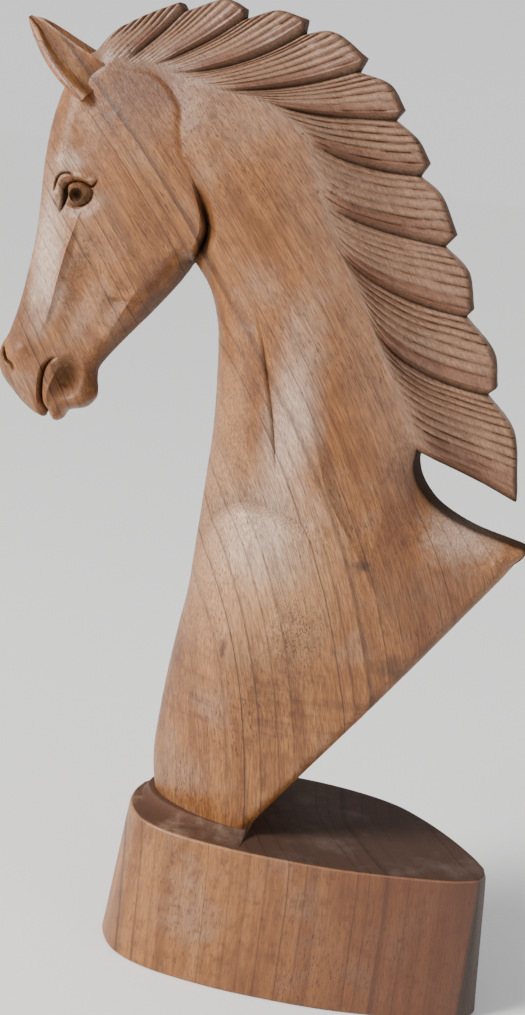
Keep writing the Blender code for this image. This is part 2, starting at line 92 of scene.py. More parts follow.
def srgb(red, green, blue):
    """A colour given in the 0 to 255 of a screen."""
    levels = [v / 255 for v in (red, green, blue)]
    return tuple(v / 12.92 if v <= 0.04045 else ((v + 0.055) / 1.055) ** 2.4 for v in levels) + (1.0,)


# Colours of the wood, and of its painted highlights, sheen and shade
LIGHT_TAN = srgb(154, 102, 55)
WARM_TAN = srgb(124, 75, 33)
GREYED = srgb(152, 118, 92)
RUSSET = srgb(94, 54, 28)
GROWTH_LINE = srgb(62, 35, 20)
FIBRE = srgb(140, 104, 76)
MANE_GREY = srgb(140, 112, 94)
RUST = srgb(92, 46, 22)
KNOT = srgb(46, 26, 18)
# Painted shade: browner in the mane's grooves, nearly black in cuts and hollows and on the base's rear end;
# that black also draws the base top's growth lines
GROOVE_SHADE_BROWN = srgb(34, 18, 10)
DEEPEST = srgb(10, 6, 4)
REAR_RED = srgb(78, 38, 20)
TOP_DARK = srgb(70, 50, 40)
TOP_GREY = srgb(90, 74, 65)
LEDGE_BROWN = srgb(84, 58, 45)
PAINTED_HIGHLIGHT = srgb(194, 148, 106)
PAINTED_SHADE_BROWN = srgb(98, 58, 32)
PAINTED_SHEEN = srgb(220, 198, 180)
PALE_FLOOR = srgb(250, 250, 249)

# Painted highlights and sheen, and painted shade, by place seen from the side, reach, colour and strength
PAINTED_LIGHT_AND_SHADE = [
    ((-0.045, 0.222), (0.060, 0.070), PAINTED_HIGHLIGHT, 0.75),
    ((-0.038, 0.300), (0.018, 0.072), PAINTED_SHEEN, 0.5),
    ((-0.180, 0.362), (0.014, 0.050), PAINTED_SHEEN, 0.7),
    ((-0.140, 0.452), (0.036, 0.032), PAINTED_SHADE_BROWN, 0.85),
    ((0.048, 0.215), (0.035, 0.050), PAINTED_SHADE_BROWN, 0.6),
    ((-0.120, 0.385), (0.035, 0.035), PAINTED_SHADE_BROWN, 0.2),
    ((-0.075, 0.280), (0.014, 0.060), PAINTED_HIGHLIGHT, 0.35),
    ((-0.044, 0.240), (0.036, 0.034), PAINTED_SHEEN, 0.5),
    ((0.055, 0.258), (0.026, 0.022), PAINTED_SHEEN, 0.5),
    ((0.022, 0.245), (0.014, 0.040), PAINTED_SHADE_BROWN, 0.45),
    ((-0.172, 0.410), (0.010, 0.008), PAINTED_SHEEN, 0.5),
]

# Where the wood is pitted, and its knots and stains in the same form
PITTED = (-0.018, 0.194)
PITTED_REACH = (0.030, 0.038)
SPOTS = [
    ((0.0087, 0.2341), (0.0060, 0.0044), KNOT, 0.75),
    ((-0.0551, 0.1793), (0.0030, 0.0066), KNOT, 0.7),
    ((0.0310, 0.1835), (0.0130, 0.0100), KNOT, 0.55),
    ((-0.1010, 0.4430), (0.0040, 0.0030), KNOT, 0.4),
]

MILLE = FIGURE_HEIGHT / 1000
TOP = BASE_HEIGHT

# The photograph's height in pixels, and the camera that took it
PHOTO_HEIGHT = 1015
SENSOR_WIDTH = 36.0
CAMERA_PLACE = (0.1005, -0.8666, 0.45)
CAMERA_YAW, CAMERA_PITCH, CAMERA_ROLL = 10.0, 13.052, 8.0
FOCAL_PIXELS = 1705.5

# The outline, anticlockwise from the first lock of the mane
FACE = [(-402, 922), (-420, 909), (-437, 876), (-446, 842), (-450, 814), (-452, 777), (-452, 740),
        (-453, 703), (-457, 665), (-466, 607), (-476, 567), (-485, 547), (-487, 527), (-479, 509),
        (-463, 492), (-443, 475), (-421, 465), (-415, 473)]
LIPS = [(-415, 473), (-404, 463), (-395, 467), (-387, 479), (-366, 486), (-355, 499), (-353, 511)]
JAW = [(-353, 511), (-357, 526), (-354, 542), (-330, 576), (-296, 619), (-267, 659), (-249, 689)]
FRONT = [(-249, 689), (-237, 677), (-224, 658), (-212, 628), (-205, 591), (-198, 498), (-199, 420),
         (-201, 341), (-203, 281), (-209, 232), (-215, 177), (-219, 121), (-221, 60), (-215, 17),
         (-209, 0)]
UNDERCUT = [(-71, 9), (-8, 99), (56, 188), (121, 280), (197, 387)]
CORNER = [(197, 387), (207, 399), (206, 408), (190, 412)]
SADDLE = [(190, 412), (142, 422), (107, 435), (84, 450), (68, 468), (60, 488), (61, 509)]

# The foot stands a ledge's width behind the base's front end
FOOT_FRONT = min(x for x, z in FRONT if z < 200)
FIGURE_SHIFT = FOOT_LEDGE - BASE_LENGTH / 2 - FOOT_FRONT * MILLE

# The mane's locks: where the lower edge leaves the neck, the bend of that edge,
# the notch where it ends, then the swell and the tip of the lock's outer edge
TOP_EDGE = [(-402, 921), (-391, 938), (-375, 952)]
LOCKS = [
    ((-357, 910), (-337, 932), (-296, 981), (-342, 972), (-304, 990)),
    ((-323, 911), (-272, 940), (-224, 980), (-251, 1000), (-226, 993)),
    ((-300, 907), (-226, 915), (-151, 972), (-186, 995), (-151, 990)),
    ((-243, 895), (-171, 899), (-80, 938), (-116, 979), (-74, 955)),
    ((-185, 890), (-122, 877), (-29, 889), (-43, 929), (-21, 902)),
    ((-128, 859), (-89, 824), (10, 829), (0, 870), (18, 845)),
    ((-98, 790), (-66, 758), (52, 752), (38, 810), (63, 767)),
    ((-73, 740), (-26, 679), (90, 674), (84, 726), (97, 683)),
    ((-18, 659), (20, 590), (130, 586), (129, 637), (140, 596)),
    ((61, 509), (114, 491), (186, 463), (169, 545), (184, 478)),
]
ROOT_BENDS = [(-380, 914), (-340, 909), (-312, 909), (-272, 899), (-214, 893), (-152, 876),
              (-110, 825), (-86, 764), (-46, 704), (24, 580)]

# Half thickness of the figure at places on it, in thousandths of its height
STATIONS = [
    (-478, 535, 27), (-455, 500, 27), (-430, 480, 26), (-400, 480, 26), (-365, 495, 25),
    (-430, 560, 34), (-390, 540, 33), (-445, 640, 37), (-400, 620, 40), (-340, 590, 40),
    (-440, 740, 47), (-400, 700, 50), (-300, 640, 56), (-390, 790, 56), (-330, 720, 62),
    (-440, 830, 42), (-270, 700, 60), (-400, 880, 42), (-330, 830, 56), (-280, 760, 60),
    (-360, 895, 40), (-300, 890, 42), (-230, 660, 46), (-240, 820, 58), (-200, 870, 48),
    (-180, 740, 66), (-130, 830, 50), (-100, 760, 50), (-110, 660, 72), (-150, 560, 74),
    (-180, 600, 66), (-30, 670, 54), (-60, 560, 76), (10, 590, 58), (-170, 480, 82),
    (-50, 460, 86), (40, 500, 58), (60, 470, 54), (-160, 380, 92), (-80, 360, 98),
    (0, 380, 88), (90, 420, 60), (190, 405, 38), (120, 350, 64), (-180, 260, 94),
    (-100, 240, 100), (20, 220, 88), (-190, 120, 94), (-110, 100, 97), (-30, 110, 92),
    (-190, 10, 90), (-100, 10, 96), (-60, 10, 96),
]

# Each ear: its middle line, its widths at shares of that line, and how far its rim
# stands from the middle plane at the root and at the tip
EAR_LINE = [(-380, 878), (-436, 910), (-488, 951)]
EAR_WIDTHS = [(0.0, 50), (0.18, 50), (0.36, 46), (0.54, 39), (0.70, 31), (0.84, 22), (0.94, 13), (1.0, 4)]
EAR_STAND = ([0, 0.25, 0.6, 1], [57, 51, 35, 15])
EAR_DEPTH = 10
EAR_HOLLOW = 0.42

# The base's plan, in shares of half its length and half its width
BASE_NEAR_SIDE = [(-0.985, 0.09), (-1.0, -0.15), (-0.97, -0.46), (-0.86, -0.76), (-0.66, -0.93),
                  (-0.36, -1.0), (-0.10, -1.0), (0.22, -0.95), (0.53, -0.83), (0.78, -0.70), (0.91, -0.58)]
BASE_CUT_END = [(0.945, -0.53), (0.97, -0.40)]
BASE_FAR_SIDE = [(0.955, -0.24), (0.88, -0.02), (0.74, 0.30), (0.56, 0.62), (0.38, 0.84), (0.12, 0.97),
                 (-0.20, 1.0), (-0.56, 0.90), (-0.84, 0.58), (-0.985, 0.09)]
BASE_FINE = 0.025

# The rings up its side, in shares of its height
BASE_LEVELS = (0.12, 0.25, 0.4, 0.55, 0.7, 0.85)

# The cove round the foot: shares of its reach and of its height, from its outer edge up to the foot
COVE_PROFILE = [(1.0, -0.10), (0.9, 0.0), (0.6, 0.08), (0.35, 0.22), (0.15, 0.50), (0.05, 0.80), (0.0, 1.0),
                (-0.12, 1.02)]

# How far in front of the undercut's lower end the foot's width is taken
FIGURE_SIDE_INSET = 16

# Carved lines, each as the places that it runs through
CHEEK_REAR = [(-249, 689), (-241, 700), (-234, 716), (-231, 738), (-245, 777), (-265, 815), (-281, 866),
              (-300, 907)]
# The head gives way to the neck along this line: up between jaw and throat, then behind the cheek
HEAD_LINE = [(-262, 0), (-262, 560)] + CHEEK_REAR
CHEEK_LOW = [(-356, 634), (-338, 631), (-312, 634), (-290, 646)]
JAW_BAR = [(-302, 652), (-328, 602), (-350, 555)]
NOSE_CREST = [(-388, 719), (-398, 683), (-409, 635), (-419, 592), (-432, 569)]
MOUTH = [(-415, 473), (-421, 500), (-419, 528), (-409, 544), (-397, 549)]
NOSTRIL = [(-478, 546), (-471, 533), (-462, 528), (-456, 518)]
THROAT = [(-207, 712), (-188, 692), (-170, 667), (-153, 648), (-141, 621), (-129, 581), (-115, 534),
          (-102, 481), (-96, 457)]
SHOULDER_ARC = [(-185, 320), (-184, 346), (-175, 381), (-157, 407), (-132, 420), (-105, 420), (-73, 413),
                (-45, 403), (-15, 395)]

# How far apart the places of a carved line stand, and how loosely the thickness keeps to its stations
FINE = 3
SHEET_EASE = 300


def curve(points, step):
    """A smooth curve through the points, with a place about every step."""
    line = [np.array(p, float) for p in points]
    line = [2 * line[0] - line[1]] + line + [2 * line[-1] - line[-2]]
    places = []
    for before, start, end, after in zip(line, line[1:], line[2:], line[3:]):
        count = max(1, round(float(np.linalg.norm(end - start)) / step))
        for i in range(count):
            t = i / count
            places.append(0.5 * (2 * start + (end - before) * t
                                 + (2 * before - 5 * start + 4 * end - after) * t ** 2
                                 + (3 * start - 3 * end + after - before) * t ** 3))
    places.append(line[-2])
    return np.array(places)


def at_shares(line, shares):
    """Places at shares of a line's length."""
    steps = np.linalg.norm(np.diff(line, axis=0), axis=1)
    along = np.concatenate([[0], np.cumsum(steps)]) / steps.sum()
    return np.stack([np.interp(shares, along, line[:, i]) for i in (0, 1)], axis=1)


def bend(start, middle, end, shares):
    """Places at shares of the length of a curve that leaves start towards middle and comes in at end."""
    t = np.linspace(0, 1, 25)[:, None]
    start, middle, end = (np.array(p, float) for p in (start, middle, end))
    return at_shares((1 - t) ** 2 * start + 2 * t * (1 - t) * middle + t ** 2 * end, shares)


def from_line(places, line):
    """Distance to a line, its sign (+ on the line's left) and the share along it, for each place."""
    starts, runs = line[:-1], np.diff(line, axis=0)
    lengths = np.linalg.norm(runs, axis=1)
    along = np.concatenate([[0], np.cumsum(lengths)])
    gaps = places[:, None, :] - starts[None]
    t = np.clip((gaps * runs).sum(2) / lengths ** 2, 0, 1)
    off = gaps - t[..., None] * runs
    distances = np.linalg.norm(off, axis=2)
    nearest = distances.argmin(axis=1)
    rows = np.arange(len(places))
    gap, run = gaps[rows, nearest], runs[nearest]
    side = np.sign(run[:, 0] * gap[:, 1] - run[:, 1] * gap[:, 0])
    share_along = (along[nearest] + t[rows, nearest] * lengths[nearest]) / along[-1]
    return distances[rows, nearest], side, share_along


def smooth(value):
    value = np.clip(value, 0, 1)
    return value * value * (3 - 2 * value)


def rounding(places, line, reach, edge):
    """How the thickness falls off towards an edge: a quarter round, down to a share of it at the edge."""
    distance, _, along = from_line(places, curve(line, FINE))
    shares = np.linspace(0, 1, len(reach))
    inside = np.clip(distance / np.interp(along, shares, reach), 0, 1)
    left = np.interp(along, np.linspace(0, 1, len(edge)), edge)
    return left + (1 - left) * np.sqrt(1 - (1 - inside) ** 2)


def crease(places, line, rises, left, right):
    """A carved line: its rise at places near it, falling to nothing at its reach on each side."""
    distance, side, along = from_line(places, curve(line, FINE))
    rise = np.interp(along, np.linspace(0, 1, len(rises)), rises)
    return rise * np.clip(1 - distance / np.where(side > 0, left, right), 0, 1) ** 1.5


def dome(places, centre, radii, turn, rise, fullness=1.5):
    """A swelling, or a hollow where the rise is negative, over an ellipse."""
    x, z = (places - centre).T
    a = math.radians(turn)
    u = (x * math.cos(a) + z * math.sin(a)) / radii[0]
    v = (z * math.cos(a) - x * math.sin(a)) / radii[1]
    return rise * np.clip(1 - u * u - v * v, 0, 1) ** fullness


def thickness_spline():
    """Weights of the smooth sheet through the stations."""
    places = np.array(STATIONS, float)
    widest = max(s[2] for s in STATIONS)
    heights = places[:, 2] * (SHOULDER_WIDTH / 2 / MILLE / widest)
    count = len(places)
    matrix = np.zeros((count + 3, count + 3))
    matrix[:count, :count] = sheet_kernel(places[:, :2], places[:, :2]) + np.eye(count) * SHEET_EASE
    matrix[:count, count:] = np.column_stack([np.ones(count), places[:, :2]])
    matrix[count:, :count] = matrix[:count, count:].T
    return places[:, :2], np.linalg.solve(matrix, np.concatenate([heights, [0, 0, 0]]))


def sheet_kernel(a, b):
    squares = ((a[:, None] - b[None]) ** 2).sum(2)
    return squares * np.log(squares + 1e-9) / 2


SHEET_PLACES, SHEET_WEIGHTS = thickness_spline()


def full_thickness(places):
    count = len(SHEET_PLACES)
    spread = sheet_kernel(places, SHEET_PLACES) @ SHEET_WEIGHTS[:count]
    return spread + SHEET_WEIGHTS[count] + places @ SHEET_WEIGHTS[count + 1:]


# Finer carving, at the same scale as the lines above
HEAD_EDGE = [(-371, 907), (-340, 906), (-319, 903), (-300, 892), (-286, 876), (-279, 861), (-277, 843),
             (-268, 815), (-255, 788), (-243, 762)]
EYELID = [(-412, 741), (-411, 755), (-406, 762), (-398, 766), (-388, 766), (-380, 763), (-376, 762),
          (-371, 766), (-366, 774)]
LID_FOLD_LINE = [(-423, 752), (-422, 762), (-418, 770), (-411, 774), (-402, 774), (-395, 770)]
EYE_SLOT = [(-410, 759), (-409, 748), (-411, 737), (-412, 727)]
LOWER_LID = [(-404, 737), (-393, 736), (-383, 740), (-375, 748), (-373, 760)]
EYEBALL_CENTRE = (-389, 752)
PUPIL_CENTRE = (-393, 750)
TEMPLE = [(-406, 838), (-390, 804), (-373, 783)]
CREASE_BEHIND_MOUTH = [(-401, 514), (-392, 512), (-381, 507)]
LIP_RIDGE = [(-406, 470), (-410, 498), (-404, 524), (-395, 541)]
NECK_RIDGE = [(-118, 652), (-80, 565), (-52, 496), (-31, 447), (-10, 416), (13, 383), (37, 349), (58, 318),
              (74, 294)]
LID_RIDGE = [(-417, 748), (-416, 760), (-411, 769), (-400, 772), (-388, 772), (-378, 769), (-369, 773)]
THROAT_LIP = [(-155, 647), (-144, 620), (-132, 580), (-118, 533), (-106, 485)]

# How near two places of the mane's root are one, into how many parts a thousandth is cut to find
# equal places, and how far the grey beside the mane's root reaches
SAME_PLACE = 1e-6
KEYS_PER_MILLE = 200
GREYED_REACH = 75

# How far apart the surface's places stand, the rows beside edges and lines, and where face and eye lie
EYE_STEP = 1.15
FACE_STEP = 2.6
BODY_STEP = 4.8
EDGE_ROWS = (0.5, 1.6, 3.4, 6.0, 9.2)
LINE_ROWS = (0, -4.6, -2.6, -1.0, 1.0, 2.6, 4.6)
FACE_REAR, FACE_LOW = -200, 440
EYE_LEFT, EYE_RIGHT, EYE_LOW, EYE_HIGH = -436, -358, 720, 790
SCATTER_CELL = 4

# The outline without the mane, then the carved lines: places, their step, and the rows beside them
FRONT_EDGES = [(FACE, 2.6, EDGE_ROWS + (13, 18)), (LIPS, 2.0, EDGE_ROWS), (JAW, 3.2, EDGE_ROWS + (13,)),
               (FRONT, 4.2, EDGE_ROWS + (13, 18, 24))]
REAR_EDGES = [(UNDERCUT, 4.4, EDGE_ROWS + (13,)), (CORNER, 2.4, EDGE_ROWS),
              (SADDLE, 3.6, EDGE_ROWS + (13, 18, 24))]
CARVED_LINES = [(CHEEK_REAR[:6], 2.6, LINE_ROWS), (MOUTH, 2.0, LINE_ROWS), (NOSTRIL, 1.6, LINE_ROWS),
                (THROAT, 3.6, LINE_ROWS), (SHOULDER_ARC, 4.2, LINE_ROWS), (NOSE_CREST, 2.2, LINE_ROWS),
                (JAW_BAR, 2.6, LINE_ROWS), (NECK_RIDGE, 4.2, (0, 3, -3, 7, -7)),
                (LIP_RIDGE, 2.2, (0, 2, -2, 4, -4))]


def carved_relief(places):
    """The rise of the carving over the smooth body, and how much painted shade each place gets in the cuts
    and hollows, from 0 to 1.
    """
    rise = np.zeros(len(places))
    shade = np.zeros(len(places))

    def cut(line, rises, left, right, dark):
        """Adds a carved line: its rises from end to end, its reach on each side and how much painted shade
        its cut gets.
        """
        depth = crease(places, line, rises, left, right)
        nonlocal rise
        rise = rise + depth
        np.maximum(shade, dark * np.clip(-depth / max(1e-6, max(abs(r) for r in rises)), 0, 1), out=shade)

    # The cheek, the bar of the jaw and the crest of the nose
    cut(CHEEK_REAR, (-19, -27, -19, -5, 0, 0, 0, 0), 3.2, 19, 1.0)
    cut(CHEEK_LOW, (0, -5, -4, 0), 6, 24, 0.3)
    cut(JAW_BAR, (2, 7.5, 7, 3), 18, 16, 0)
    rise += dome(places, (-318, 640), (30, 14), 20, -3)
    cut(NOSE_CREST, (2, 7, 7.5, 4, 0), 5, 18, 0)
    rise += dome(places, (-372, 645), (26, 72), -14, -9)

    # The mouth, the lips and the nostril
    cut(MOUTH, (-12, -15, -13, -9, 0), 4, 4.5, 1.0)
    cut(LIP_RIDGE, (0, 4, 4, 0), 6, 6, 0)
    # A hollow behind the lips, in painted shade
    dip = dome(places, (-388, 524), (22, 33), -15, 1, 1)
    rise -= 9 * dip
    np.maximum(shade, 0.76 * dip, out=shade)
    cut(CREASE_BEHIND_MOUTH, (0, -4, 0), 3, 4, 0.7)
    cut(NOSTRIL, (-9, -9, -6, 0), 5, 3.5, 0.9)
    rise += dome(places, (-470, 512), (12, 18), 30, 3.5)
    rise += dome(places, (-452, 545), (16, 14), 0, 2.5)

    # The throat's groove with its lip, the shoulder's arc, the neck's ridge and the swell of the chest
    cut(THROAT[:4], (0, 4, 3, 0), 16, 5, 0)
    rise += dome(places, (-219, 682), (13, 42), 12, -9)
    cut(THROAT[3:], (0, -2, -3, -3, -2.5, -0.5), 34, 5, 0)
    cut(THROAT[3:], (0, -0.5, -0.8, -1.2, -2, 0), 2, 1.6, 0.4)
    cut(THROAT_LIP, (0, 2, 2.6, 2.2, 0), 3, 7, 0)
    cut(SHOULDER_ARC, (0, -4, -8, -11, -11, -10, -8, -4, -1), 46, 12, 0.32)
    cut(NECK_RIDGE, (0, 1, 3, 6, 8, 8.5, 7.5, 5, 0), 13, 46, 0)
    rise += dome(places, (-100, 376), (78, 46), -8, 6)
    rise += dome(places, (-105, 270), (125, 165), -18, 8, 2)

    # The step behind the poll and the temple
    cut(HEAD_EDGE, (-1, -3, -5, -5, -4, -2.5, -1.5, -0.6, 0), 34, 5, 0.06)
    cut(TEMPLE, (0, -3, -1), 18, 18, 0)

    # The eye: a brow and a hollow for the ball, the ball with its drilled pupil, both in painted shade, and
    # the two lids over it
    rise += dome(places, (-419, 787), (23, 17), -30, 7)
    rise += dome(places, (-391, 752), (36, 31), 8, -7)
    rise += dome(places, (-424, 742), (9, 18), 8, 4)
    eye = EYE_RADIUS / MILLE
    rise += dome(places, EYEBALL_CENTRE, (eye * 1.04, eye * 0.9), 8, eye * 0.55, 0.5)
    ball = dome(places, EYEBALL_CENTRE, (eye * 1.04, eye * 0.9), 8, 1, 0.2)
    np.maximum(shade, 0.74 * ball, out=shade)
    rise += dome(places, PUPIL_CENTRE, (9.0, 8.6), 0, -8, 0.4)
    np.maximum(shade, dome(places, PUPIL_CENTRE, (10, 9.6), 0, 1.0, 0.3), out=shade)
    cut(LOWER_LID, (-2, -4, -5, -5, -2), 6, 3, 0.9)
    cut(LID_RIDGE, (2, 4, 5, 5, 4, 3, 0), 5.5, 5.5, 0)
    cut(EYELID, (-7, -8, -7, -6, -6, -7, -7, -5, 0), 2.6, 3.2, 1.0)
    cut(EYE_SLOT, (-8, -14, -14, -2), 5.5, 3.5, 1.0)
    cut(LID_FOLD_LINE, (-3, -7, -6, -5, 0), 3.0, 2.4, 1.0)

    # Painted shade along the jaw's lower edge and round the saddle and the bust's rear corner
    under_jaw = from_line(places, curve(JAW, FINE))[0]
    np.maximum(shade, 0.5 * smooth(1 - under_jaw / 15), out=shade)
    for edge, reach in ((SADDLE, 3.0), (CORNER, 2.0)):
        beside = from_line(places, curve(edge, FINE))[0]
        np.maximum(shade, 0.86 * smooth(1.3 - beside / reach), out=shade)
    return rise, shade


def figure_surface(places):
    """Half the figure's thickness inside the outline, and the painted shade of each place."""
    distance, side, _ = from_line(places, np.array(HEAD_LINE, float))
    # The head's rear edge is sharp at the jaw and fades out upwards
    soft = np.interp(places[:, 1], [700, 740, 820, 907], [4, 8, 60, 90])
    head = smooth(0.5 + side * distance / soft / 2)
    head_round = (rounding(places, FACE, (34, 40, 44, 34, 20), (0,))
                  * rounding(places, LIPS, (15, 18), (0,))
                  * rounding(places, JAW, (18, 26, 24), (0,)))
    neck_round = rounding(places, FRONT, (34, 56, 70, 84, 110, 140, 150), (0,))
    tail_round = (rounding(places, UNDERCUT, (14,), (0.86, 0.86, 0.8, 0.6))
                  * rounding(places, CORNER + SADDLE[1:], (30, 60, 60, 36), (0.5, 0.3, 0.35, 0.7)))
    rise, shade = carved_relief(places)
    both = head * head_round + (1 - head) * neck_round
    return np.maximum((full_thickness(places) + rise) * both * tail_round, 0), shade


def in_blocks(function, places, block=8000):
    """The function's two results for all places, worked out a block at a time."""
    parts = [function(places[i:i + block]) for i in range(0, len(places), block)]
    return [np.concatenate(column) for column in zip(*parts)]


class Scatter:
    """Places that keep a distance from one another."""

    def __init__(self, cell):
        self.cell, self.cells, self.places = cell, {}, []

    def near(self, place, gap):
        reach = int(gap // self.cell) + 1
        cx, cz = int(place[0] // self.cell), int(place[1] // self.cell)
        for i in range(cx - reach, cx + reach + 1):
            for j in range(cz - reach, cz + reach + 1):
                for other in self.cells.get((i, j), ()):
                    if math.dist(place, other) < gap:
                        return True
        return False

    def add(self, place):
        place = (float(place[0]), float(place[1]))
        self.cells.setdefault((int(place[0] // self.cell), int(place[1] // self.cell)), []).append(place)
        self.places.append(place)


def inside(places, outline):
    """Whether each place lies inside a closed outline."""
    x, z = places.T
    within = np.zeros(len(places), bool)
    for (ax, az), (bx, bz) in zip(outline, np.roll(outline, -1, axis=0)):
        if az != bz:
            crosses = (az > z) != (bz > z)
            within ^= crosses & (x < ax + (z - az) * (bx - ax) / (bz - az))
    return within


def spacing(places):
    """How far apart the surface's places stand: closest round the eye, then the face, then the rest."""
    x, z = places.T
    step = np.full(len(places), BODY_STEP)
    step[(x < FACE_REAR) & (z > FACE_LOW)] = FACE_STEP
    step[(x > EYE_LEFT) & (x < EYE_RIGHT) & (z > EYE_LOW) & (z < EYE_HIGH)] = EYE_STEP
    return step


def hexagons(low, high, step):
    """Places on a grid of even triangles that covers a rectangle."""
    places = []
    height = step * math.sqrt(3) / 2
    for row in range(int((high[1] - low[1]) / height) + 1):
        xs = np.arange(low[0] + (row % 2) * step / 2, high[0], step)
        places.append(np.column_stack([xs, np.full(len(xs), low[1] + row * height)]))
    return np.vstack(places)


def body(root_places):
    """The head, neck and bust of one side, as places and triangles."""
    foot = -FOOT_SUNK / MILLE
    outline = []
    for points, step, _ in FRONT_EDGES:
        outline.extend(curve(points, step)[:-1])
    outline.extend([(FRONT[-1][0], 0), (FRONT[-1][0], foot)])
    outline.extend((x, foot) for x in np.linspace(FRONT[-1][0], UNDERCUT[0][0], 36)[1:])
    for points, step, _ in REAR_EDGES:
        outline.extend(curve(points, step)[:-1])
    keep = [root_places[-1]]
    for place in root_places[::-1][1:]:
        if math.dist(place, keep[-1]) > SAME_PLACE:
            keep.append(place)
    outline.extend(keep[:-1])
    outline = np.array(outline)

    scatter = Scatter(SCATTER_CELL)
    for place in outline:
        scatter.add(place)
    edges = [(i, (i + 1) % len(outline)) for i in range(len(outline))]
    for points, step, offsets in FRONT_EDGES + REAR_EDGES + CARVED_LINES:
        line = curve(points, step)
        run = np.gradient(line, axis=0)
        left = np.stack([-run[:, 1], run[:, 0]], axis=1) / np.linalg.norm(run, axis=1)[:, None]
        # A row keeps off its own line's bends and off the places that stand already
        for offset in offsets:
            row = line + left * offset
            clear = from_line(row, line)[0] >= abs(offset) * 0.9
            gap = step * 0.45 if offset == 0 else min(abs(offset) * 0.85, step * 0.55)
            for place, ok in zip(row, clear & inside(row, outline)):
                if ok and not scatter.near(place, gap):
                    scatter.add(place)

    # Even triangles fill what is left
    low, high = outline.min(axis=0), outline.max(axis=0)
    for step in (EYE_STEP, FACE_STEP, BODY_STEP):
        grid = hexagons(low, high, step)
        grid = grid[(spacing(grid) == step) & inside(grid, outline)]
        for place in grid:
            if not scatter.near(place, step * 0.62):
                scatter.add(place)

    vectors = [Vector(place) for place in scatter.places]
    verts, _, triangles, _, _, _ = delaunay_2d_cdt(vectors, edges, [list(range(len(outline)))], 1, 1e-5)
    places = np.array([tuple(v) for v in verts])
    for place in root_places:
        places[np.abs(places - place).max(axis=1) < 0.01] = place
    return places, triangles


# The mane's grid: its rows from the neck to the tips, the columns for each strand, where across a
# lock the strands end, and the columns of the drop to the next lock
MANE_ROWS = np.concatenate([np.linspace(0, 0.95, 34), [0.97, 0.985, 0.995, 1.0]])
STRAND_SAMPLES = 7
STRANDS_END = 0.90
DROP_COLUMNS = (0.92, 0.94, 0.965, 1.0)

# The seeds of what is random, and how far apart the strand numbers of two locks start
STRAND_SEED = 5
GOUGE_SEED = 11
NUMBERS_PER_LOCK = 20


